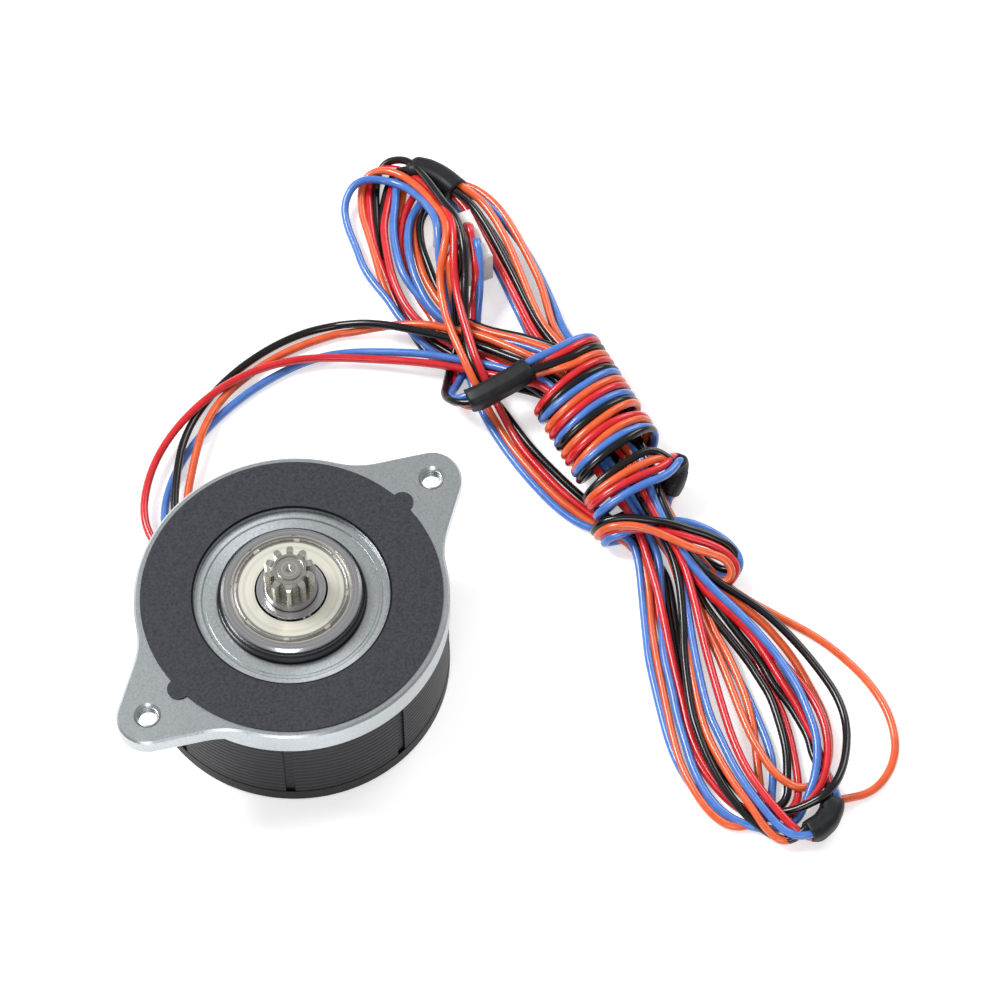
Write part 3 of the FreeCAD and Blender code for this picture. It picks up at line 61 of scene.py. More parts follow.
class Lead(Enum):
    """The four insulated wires, each with the node that it stands for."""

    RED = "red_lead"
    BLUE = "blue_lead"
    BLACK = "black_lead"
    ORANGE = "orange_lead"


class Grain(Enum):
    """The kinds of surface detail a finish may carry."""

    CAST = "cast"
    TURNED = "turned"
    LAMINATED = "laminated"
    SPECKLED = "speckled"
    WOUND = "wound"
    FACED = "faced"
    SHEETS = "sheets"


# How much the grain of these surfaces is drawn out along each axis.
GRAIN_STRETCH: dict[Grain, Point] = {
    Grain.LAMINATED: (0.04, 0.04, 1.0),
    Grain.WOUND: (0.1, 0.1, 1.0),
}
NOISE: dict[str, float] = {"Detail": 4.0, "Roughness": 0.6}
# Blender's banded wave repeats after this length, divided by its scale.
BAND_LENGTH = 0.314
BANDS: dict[str, float] = {"Distortion": 0.6, "Detail Scale": 3.0}
# How much of the noise shows on a stack of sheets, beside the bands.
NOISE_ON_SHEETS = 0.45
# Where a finish's darker mottle ends and its own colour begins, on the grain's height.
MOTTLE_STOPS: Place = (0.3, 0.6)
BUMP_STRENGTH = 0.6


def spread(start: Sequence[float], end: Sequence[float], share: float) -> Vector:
    """Returns the point that lies the given share of the way from start to end."""
    return Vector(start).lerp(Vector(end), share)


def put(name: str, data: bpy.types.ID) -> bpy.types.Object:
    """Adds an object to the scene.

    Args:
        name: The object's name.
        data: Its mesh, curve, lamp or camera.

    Returns:
        The object.
    """
    made = bpy.data.objects.new(name, data)
    bpy.context.scene.collection.objects.link(made)
    return made


@dataclass
class Graph:
    """The nodes of a material, of the world or of a geometry group, while they are wired."""

    tree: bpy.types.NodeTree

    def node(
        self,
        kind: str,
        wired: Mapping[Label, Socket] | None = None,
        fixed: Mapping[Label, object] | None = None,
        **settings: object,
    ) -> bpy.types.Node:
        """Adds a node.

        Args:
            kind: The node's type.
            wired: The sockets that feed its inputs.
            fixed: The values of its other inputs.
            **settings: The node's own choices, such as its operation.

        Returns:
            The node.
        """
        made = self.tree.nodes.new(kind)
        for label, choice in settings.items():
            setattr(made, label, choice)
        self.feed(made, wired or {}, fixed or {})
        return made

    def feed(
        self,
        node: bpy.types.Node,
        wired: Mapping[Label, Socket],
        fixed: Mapping[Label, object],
    ) -> None:
        """Sets and wires the inputs of a node.

        Args:
            node: The node.
            wired: The sockets that feed its inputs.
            fixed: The values of its other inputs.
        """
        for label, number in fixed.items():
            node.inputs[label].default_value = number
        for label, source in wired.items():
            self.tree.links.new(source, node.inputs[label])

    def maths(self, operation: str, one: Socket, other: Socket | float) -> Socket:
        """Works out one number from two.

        Args:
            operation: What is done with them.
            one: The first number.
            other: The second number, or the socket that gives it.

        Returns:
            The socket with the answer.
        """
        if isinstance(other, float):
            made = self.node("ShaderNodeMath", {0: one}, {1: other}, operation=operation)
        else:
            made = self.node("ShaderNodeMath", {0: one, 1: other}, operation=operation)
        return made.outputs[0]


@dataclass(frozen=True)
class Finish:
    """A surface with its colour, its gloss and its fine grain.

    Colours are given as they look, in eight-bit steps, and lengths in millimetres. A painted ring of
    light or shade is a radius with its level, and a step of the painted highlight is a share of a turn with
    its level.
    """

    name: str
    colour: tuple[int, int, int]
    mottle: tuple[int, int, int]
    grain: Grain = Grain.CAST
    metallic: float = 0.0
    roughness: Place = (0.35, 0.5)
    grain_size: float = 0.6
    relief: float = 0.02
    coat: float = 0.0
    specular: float = 0.5
    sheet: float = 0.85
    face_reach: float = 25.0
    light_and_shade_rings: tuple[Place, ...] = ()
    painted_sheen: tuple[Place, ...] = ()
    painted_sheen_edge: Place = (11.3, 11.1)

    @staticmethod
    def linear(colour: Sequence[int]) -> tuple[float, float, float, float]:
        """Turns a display colour into a linear one.

        Args:
            colour: Red, green and blue in eight-bit steps.

        Returns:
            The linear colour, opaque.
        """
        steps = [value / 255.0 for value in colour]
        red, green, blue = (
            step / 12.92 if step <= 0.04045 else ((step + 0.055) / 1.055) ** 2.4
            for step in steps
        )
        return (red, green, blue, 1.0)

    def build(self) -> bpy.types.Material:
        """Builds the node tree of this finish.

        Returns:
            The material, made once and found again by its name.
        """
        known = bpy.data.materials.get(self.name)
        if known is not None:
            return known
        material = bpy.data.materials.new(self.name)
        material.use_nodes = True
        graph = Graph(material.node_tree)
        place = graph.node("ShaderNodeTexCoord").outputs["Object"]
        grain = self.pattern(graph, place)
        ramp = graph.node("ShaderNodeValToRGB", {"Fac": grain})
        colours = (self.mottle, self.colour)
        for stop, position, colour in zip(ramp.color_ramp.elements, MOTTLE_STOPS, colours):
            stop.position = position
            stop.color = self.linear(colour)
        tint = ramp.outputs["Color"]
        # Painted light and shade in rings round the axis, and on the flange a painted highlight.
        if self.light_and_shade_rings:
            tint = self.faced(graph, place, tint)
        gloss = graph.node("ShaderNodeMapRange", {"Value": grain},
                           {"To Min": self.roughness[0], "To Max": self.roughness[1]})
        bump = graph.node("ShaderNodeBump", {"Height": grain},
                          {"Distance": self.relief * MM, "Strength": BUMP_STRENGTH})
        graph.feed(
            material.node_tree.nodes["Principled BSDF"],
            {"Base Color": tint, "Roughness": gloss.outputs["Result"], "Normal": bump.outputs["Normal"]},
            {"Metallic": self.metallic, "Coat Weight": self.coat, "Specular IOR Level": self.specular},
        )
        return material

    @staticmethod
    def radius(graph: Graph, place: Socket) -> Socket:
        """Measures how far a place lies from the motor's axis.

        Args:
            graph: The material's nodes.
            place: The place on the piece, in metres.

        Returns:
            The socket with the distance.
        """
        flat = graph.node("ShaderNodeVectorMath", {0: place}, {1: (1.0, 1.0, 0.0)}, operation="MULTIPLY")
        length = graph.node("ShaderNodeVectorMath", {0: flat.outputs["Vector"]}, operation="LENGTH")
        return length.outputs["Value"]

    def faced(self, graph: Graph, place: Socket, tint: Socket) -> Socket:
        """Paints light and shade into the colour in rings round the axis, and a painted highlight across the
        face.

        Args:
            graph: The material's nodes.
            place: The place on the piece, in metres.
            tint: The colour before the rings.

        Returns:
            The socket with the colour and its painted light and shade.
        """
        radius = self.radius(graph, place)
        share = graph.node("ShaderNodeMapRange", {"Value": radius}, {"From Max": self.face_reach * MM})
        rings = graph.node("ShaderNodeValToRGB", {"Fac": share.outputs["Result"]})
        stops = rings.color_ramp.elements
        while len(stops) < len(self.light_and_shade_rings):
            stops.new(0.5)
        for stop, (reach, level) in zip(stops, self.light_and_shade_rings):
            stop.position = reach / self.face_reach
            stop.color = (level, level, level, 1.0)
        lit_and_shaded = self.darkened(graph, tint, rings.outputs["Color"])
        if not self.painted_sheen:
            return lit_and_shaded
        # The painted highlight covers only the hub, inside this edge.
        inside = graph.node("ShaderNodeMapRange", {"Value": radius}, {
            "From Min": self.painted_sheen_edge[0] * MM, "From Max": self.painted_sheen_edge[1] * MM})
        return self.darkened(graph, lit_and_shaded, self.sheen(graph, place), inside.outputs["Result"])

    def sheen(self, graph: Graph, place: Socket) -> Socket:
        """Paints the bright beams of a highlight that cross a turned face.

        A curve's levels end at 1, so it holds halves, which are doubled.

        Args:
            graph: The material's nodes.
            place: The place on the piece, in metres.

        Returns:
            The socket with the level of the painted highlight round the face.
        """
        round_about = graph.node("ShaderNodeTexGradient", {"Vector": place}, gradient_type="RADIAL")
        beams = graph.node("ShaderNodeFloatCurve", {"Value": round_about.outputs["Fac"]})
        points = beams.mapping.curves[0].points
        for turn, level in self.painted_sheen[1:-1]:
            points.new(turn, level / 2.0)
        points[0].location = (0.0, self.painted_sheen[0][1] / 2.0)
        points[-1].location = (1.0, self.painted_sheen[-1][1] / 2.0)
        beams.mapping.update()
        return graph.maths("MULTIPLY", beams.outputs["Value"], 2.0)

    @staticmethod
    def darkened(graph: Graph, tint: Socket, level: Socket, share: Socket | None = None) -> Socket:
        """Multiplies a colour by a level.

        Args:
            graph: The material's nodes.
            tint: The colour.
            level: The level.
            share: How much of it counts, or None for all of it.

        Returns:
            The socket with the new colour.
        """
        mix = graph.node("ShaderNodeMix", {6: tint, 7: level}, {"Factor": 1.0},
                         data_type="RGBA", blend_type="MULTIPLY")
        if share is not None:
            graph.feed(mix, {"Factor": share}, {})
        return mix.outputs[2]

    def pattern(self, graph: Graph, place: Socket) -> Socket:
        """Adds the nodes that draw the grain.

        Args:
            graph: The material's nodes.
            place: The place on the piece, in metres.

        Returns:
            The socket with the grain's height, from 0 to 1.
        """
        drawn = place
        if self.grain is Grain.TURNED:
            height = graph.node("ShaderNodeSeparateXYZ", {"Vector": place}).outputs["Z"]
            ring = graph.node("ShaderNodeCombineXYZ", {"X": self.radius(graph, place), "Y": height})
            drawn = ring.outputs["Vector"]
        elif self.grain in GRAIN_STRETCH:
            stretch = graph.node("ShaderNodeVectorMath", {0: place}, {1: GRAIN_STRETCH[self.grain]},
                                 operation="MULTIPLY")
            drawn = stretch.outputs["Vector"]
        noise = graph.node("ShaderNodeTexNoise", {"Vector": drawn},
                           {"Scale": 1.0 / (self.grain_size * MM), **NOISE}).outputs["Fac"]
        if self.grain is not Grain.SHEETS:
            return noise
        sheets = graph.node("ShaderNodeTexWave", {"Vector": place},
                            {"Scale": BAND_LENGTH / (self.sheet * MM), **BANDS},
                            wave_type="BANDS", bands_direction="Z")
        blend = graph.node("ShaderNodeMix", {"A": sheets.outputs["Fac"], "B": noise},
                           {"Factor": NOISE_ON_SHEETS}, data_type="FLOAT")
        return blend.outputs["Result"]


# Painted shade on the flange: dark rings where shade falls round the bearing's collar (8.05 to 8.5 mm) and
# at the film's inner edge (11.22 to 11.45 mm); also a darker thin line at 10.32 mm and a slightly brighter
# band from 10.45 mm to 11.12 mm.
FLANGE_LIGHT_AND_SHADE_RINGS: tuple[Place, ...] = (
    (7.95, 1.0), (8.05, 0.08), (8.5, 0.08), (8.7, 1.0), (10.2, 1.0), (10.32, 0.5), (10.45, 1.1),
    (11.12, 1.0), (11.22, 0.06), (11.45, 0.06), (11.6, 1.0),
)
# Painted highlight: bright beams across the turned hub, as levels at shares of a turn, brightest near 0.2
# and 0.72 of a turn.
FLANGE_PAINTED_SHEEN: tuple[Place, ...] = (
    (0.0, 1.1), (0.12, 1.3), (0.2, 1.65), (0.3, 1.15), (0.5, 1.0), (0.62, 1.3), (0.72, 1.75), (0.84, 1.15),
    (1.0, 1.1),
)
# Painted shade in the shield's groove, under its crimp tabs so that the gaps between them look dark, and at
# its rim; outside 6.76 mm a grey tone like the steel of the outer ring.
SHIELD_SHADE_AND_TONE_RINGS: tuple[Place, ...] = (
    (5.98, 1.0), (6.04, 0.3), (6.14, 0.3), (6.2, 0.7), (6.5, 0.7), (6.56, 0.25), (6.68, 0.25), (6.76, 0.6),
)
# Painted shadow round the shaft, inside 3.06 mm, and a painted highlight on the inner ring, from 3.14 mm to
# 4.1 mm.
RACE_LIGHT_AND_SHADE_RINGS: tuple[Place, ...] = ((2.95, 0.08), (3.06, 0.08), (3.14, 1.15), (4.1, 1.15), (4.6, 1.0))


STUDIO_FINISHES: dict[str, Finish] = {
    # The flange carries painted shade rings and a painted highlight, the bearing steel a painted shadow
    # round the shaft and a highlight on its inner ring, and the shield painted shade in its grooves.
    "flange_aluminium": Finish("satin aluminium", (190, 195, 198), (170, 176, 180), Grain.FACED, 1.0,
                               (0.26, 0.38), 0.22, 0.008, light_and_shade_rings=FLANGE_LIGHT_AND_SHADE_RINGS,
                               painted_sheen=FLANGE_PAINTED_SHEEN),
    "black_film": Finish("charcoal film", (54, 56, 63), (30, 32, 37), Grain.SPECKLED, 0.0,
                         (0.5, 0.62), 0.28, 0.012, specular=0.3),
    "bearing_steel": Finish("ground bearing steel", (206, 206, 208), (160, 161, 165), Grain.TURNED, 1.0,
                            (0.16, 0.28), 0.25, 0.004, light_and_shade_rings=RACE_LIGHT_AND_SHADE_RINGS),
    "shield_steel": Finish("pressed shield steel", (240, 237, 224), (222, 219, 206), Grain.TURNED, 0.9,
                           (0.32, 0.42), 0.5, 0.004, light_and_shade_rings=SHIELD_SHADE_AND_TONE_RINGS),
    "cage_steel": Finish("pressed cage steel", (180, 180, 182), (140, 140, 144), Grain.CAST, 1.0,
                         (0.3, 0.42), 0.3, 0.01),
    "spring_steel": Finish("blued spring steel", (120, 122, 128), (84, 86, 92), Grain.CAST, 1.0,
                           (0.26, 0.4), 0.4, 0.01),
    "shaft_steel": Finish("hobbed shaft steel", (206, 204, 198), (160, 158, 152), Grain.TURNED, 1.0,
                          (0.18, 0.34), 0.2, 0.008),
    "rotor_steel": Finish("rotor laminations", (132, 134, 138), (92, 94, 98), Grain.LAMINATED, 1.0,
                          (0.36, 0.5), 0.5, 0.03),
    "magnet": Finish("sintered magnet", (96, 98, 102), (66, 68, 72), Grain.SPECKLED, 0.8,
                     (0.42, 0.6), 0.4, 0.03),
    "black_laminations": Finish("black laminations", (24, 25, 31), (3, 3, 5), Grain.SHEETS, 0.1,
                                (0.4, 0.55), 0.5, 0.09, specular=0.18),
    "bobbin_plastic": Finish("bobbin plastic", (232, 228, 214), (216, 210, 192), Grain.CAST, 0.0,
                             (0.4, 0.55), 0.9, 0.02),
    "copper": Finish("enamelled copper", (196, 108, 56), (150, 74, 36), Grain.WOUND, 0.9,
                     (0.2, 0.34), 0.22, 0.05, 0.4),
    "board": Finish("board laminate", (44, 104, 66), (30, 78, 50), Grain.SPECKLED, 0.0,
                    (0.3, 0.44), 0.3, 0.01, 0.3),
    "black_cap": Finish("black cap", (10, 10, 13), (5, 5, 7), Grain.CAST, 0.0,
                        (0.42, 0.56), 0.5, 0.02, specular=0.18),
    "screw_steel": Finish("plated screw steel", (196, 196, 198), (156, 156, 160), Grain.TURNED, 1.0,
                          (0.2, 0.34), 0.2, 0.01),
    "black_rubber": Finish("black sleeve rubber", (22, 23, 27), (10, 10, 13), Grain.CAST, 0.0,
                           (0.38, 0.55), 0.8, 0.03, 0.0, 0.35),
    "red_wire": Finish("red insulation", (210, 32, 40), (194, 24, 32), Grain.CAST, 0.0,
                       (0.2, 0.3), 1.4, 0.012, 0.3),
    "blue_wire": Finish("blue insulation", (74, 122, 200), (62, 108, 186), Grain.CAST, 0.0,
                        (0.2, 0.3), 1.4, 0.012, 0.3),
    "black_wire": Finish("black insulation", (12, 12, 15), (5, 5, 7), Grain.CAST, 0.0,
                         (0.16, 0.26), 1.4, 0.012, 0.2, 0.4),
    "orange_wire": Finish("orange insulation", (226, 96, 48), (212, 82, 38), Grain.CAST, 0.0,
                          (0.2, 0.3), 1.4, 0.012, 0.3),
    "mixed_wire": Finish("hank wire", (120, 70, 70), (90, 50, 50), Grain.CAST, 0.0,
                         (0.3, 0.4), 1.4, 0.012),
    "white_housing": Finish("white housing plastic", (236, 236, 232), (222, 222, 216), Grain.CAST, 0.0,
                            (0.34, 0.46), 1.2, 0.01, 0.1),
    "contact_brass": Finish("tinned contacts", (204, 190, 150), (170, 156, 118), Grain.CAST, 1.0,
                            (0.24, 0.36), 0.3, 0.01),
}


class Wardrobe:
    """Gives every node of the frame its finish."""

    def dress(self) -> None:
        """Puts the finish of its slot on every node."""
        for name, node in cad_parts.items():
            for slot in node.material_slots:
                finish = self.finish_for(slot.material.name if slot.material else "")
                if finish is not None:
                    slot.material = finish.build()
            LOG.info("%s dressed", name)

    @staticmethod
    def finish_for(slot: str) -> Finish | None:
        """Finds the finish that a slot asks for.

        Args:
            slot: The slot's name.

        Returns:
            The finish, or None where the slot's name is none of them.
        """
        for known, finish in STUDIO_FINISHES.items():
            if slot.startswith(known):
                return finish
        return None


@dataclass(frozen=True)
class Neck:
    """The bound neck of the hank, as an axis in plan and a height above the floor."""

    start: Place = (49.6, 8.5)
    heading: float = math.atan2(-0.961, -0.276)
    height: float = 3.8
    middle_cell: Place = (3.5, 1.0)
    column_step: float = 0.98
    layer_step: float = 1.08
    stations: tuple[float, ...] = (4.5, 11.5, 18.5)

    def at(self, along: float, across: float, height: float) -> Point:
        """Finds a point of the neck.

        Args:
            along: How far it lies from the neck's upper end.
            across: How far it lies to the neck's right.
            height: Its height above the floor.

        Returns:
            The point.
        """
        ahead = Vector((math.cos(self.heading), math.sin(self.heading)))
        aside = Vector((-ahead.y, ahead.x))
        spot = Vector(self.start) + ahead * along + aside * across
        return (spot.x, spot.y, height)

    def down(self, upper: Cell, lower: Cell) -> list[Point]:
        """Leads one strand down inside the neck.

        Args:
            upper: The column and layer where the strand enters at the upper end.
            lower: The column and layer where it leaves at the lower end.

        Returns:
            The strand's points, from the upper end to the lower one.
        """
        points = []
        for along in self.stations:
            share = (along - self.stations[0]) / (self.stations[-1] - self.stations[0])
            cell = spread(upper, lower, share) - Vector(self.middle_cell)
            points.append(self.at(along, cell.x * self.column_step,
                                  self.height + cell.y * self.layer_step))
        return points


NECK = Neck()


@dataclass(frozen=True)
class Bundle:
    """A short run where the four leads lie square together inside a sleeve."""

    axis: tuple[Point, ...]
    corners: tuple[Cell, Cell, Cell, Cell] = ((1, -1), (1, 1), (-1, 1), (-1, -1))
    half: float = 0.56

    def strand(self, lead: Lead) -> list[Point]:
        """Leads one lead through its corner of the square.

        Args:
            lead: The lead.

        Returns:
            The run's points.
        """
        across, above = self.corners[list(Lead).index(lead)]
        spots = [Vector(point) for point in self.axis]
        points = []
        for number, spot in enumerate(spots):
            ahead = spots[min(number + 1, len(spots) - 1)] - spots[max(number - 1, 0)]
            aside = ahead.cross(UP).normalized()
            upright = aside.cross(ahead).normalized()
            place = spot + aside * across * self.half + upright * above * self.half
            points.append((place.x, place.y, place.z))
        return points


NECK_SLEEVE = Bundle(((44.8, 7.3, 6.3), (42.7, 7.6, 6.0), (40.6, 8.2, 5.7), (38.8, 8.7, 5.4),
                      (36.9, 9.5, 5.0)))
CORNER_SLEEVE = Bundle(((58.0, 33.6, 2.6), (58.0, 35.6, 2.6), (57.7, 37.4, 2.6), (57.1, 38.9, 2.6),
                        (56.2, 40.1, 2.4)), ((-1, -1), (1, -1), (-1, 1), (1, 1)))
LOOSE_SLEEVE = Bundle(((47.0, -14.4, 1.6), (48.2, -14.3, 2.9), (48.9, -14.0, 4.3), (48.8, -13.6, 5.7)))
END_SLEEVE = Bundle(((26.6, -57.4, 1.9), (28.4, -57.8, 1.9), (30.1, -57.4, 1.9), (31.4, -56.5, 1.9)))
SLEEVES: dict[str, Bundle] = {
    "lead_sleeve_1": NECK_SLEEVE,
    "lead_sleeve_2": CORNER_SLEEVE,
    "lead_sleeve_3": LOOSE_SLEEVE,
    "lead_sleeve_4": END_SLEEVE,
}

# Where every lead leaves the rear cap, how high, and how far it first runs straight out.
GROMMET_REACH = 17.9
GROMMET_HEIGHT = 1.5
STRAIGHT_OUT = 1.5
# How each lead goes down into the connector: how far back from its hole, and how high.
DROP: tuple[Place, ...] = ((2.6, 6.0), (0.9, 6.6), (0.0, 6.0), (0.0, 3.2))
DROP_COURSE: Place = (-0.5, -0.85)


@dataclass(frozen=True)
class Way:
    """One lead's way through the hank, run by run, in millimetres.

    Its ranks say where its strand lies among the four in each turn round the neck.
    """

    lead: Lead
    colour: Finish
    across: float
    free: tuple[Point, ...]
    first_down: tuple[Cell, Cell]
    first_fall: tuple[Point, ...]
    first_rise: tuple[Point, ...]
    first_up: tuple[Cell, Cell]
    upper_rise: tuple[Point, ...]
    upper_fall: tuple[Point, ...]
    second_down: tuple[Cell, Cell]
    second_fall: tuple[Point, ...]
    second_rise: tuple[Point, ...]
    second_up: tuple[Cell, Cell]
    climb: tuple[Point, ...]
    over: tuple[Point, ...]
    third_fall: tuple[Point, ...]
    third_rise: tuple[Point, ...]
    third_up: tuple[Cell, Cell]
    last_rise: tuple[Point, ...]
    last_fall: tuple[Point, ...]
    last_down: tuple[Cell, Cell]
    bulge: tuple[Point, ...]
    loose_rank: int
    turn_ranks: tuple[int, int, int, int]
    curl: tuple[Point, ...]
    hole: Place

    @property
    def exit(self) -> Point:
        """Where the lead leaves the rear cap."""
        return (self.across, GROMMET_REACH, GROMMET_HEIGHT)

    def drop(self) -> list[Point]:
        """Returns the run that goes down into the lead's hole in the connector."""
        return [(self.hole[0] + DROP_COURSE[0] * back, self.hole[1] + DROP_COURSE[1] * back, height)
                for back, height in DROP]

    def route(self) -> list[Point]:
        """Puts the lead's runs in a row.

        Returns:
            All the lead's control points, from the grommet to the connector.
        """
        runs: tuple[Sequence[Point], ...] = (
            (self.exit, (self.across, GROMMET_REACH + STRAIGHT_OUT, GROMMET_HEIGHT)),
            self.free,
            NECK.down(*self.first_down),
            self.first_fall,
            END_SLEEVE.strand(self.lead),
            self.first_rise,
            NECK.down(*self.first_up)[::-1],
            self.upper_rise,
            CORNER_SLEEVE.strand(self.lead),
            self.upper_fall,
            NECK.down(*self.second_down),
            self.second_fall,
            self.second_rise,
            NECK.down(*self.second_up)[::-1],
            self.climb,
            self.over,
            self.third_fall,
            self.third_rise,
            NECK.down(*self.third_up)[::-1],
            self.last_rise,
            self.last_fall,
            NECK.down(*self.last_down),
            self.bulge,
            WRAP.loose_rise(self),
            WRAP.coil(self),
            NECK_SLEEVE.strand(self.lead),
            self.curl,
            self.drop(),
        )
        return [point for run in runs for point in run]


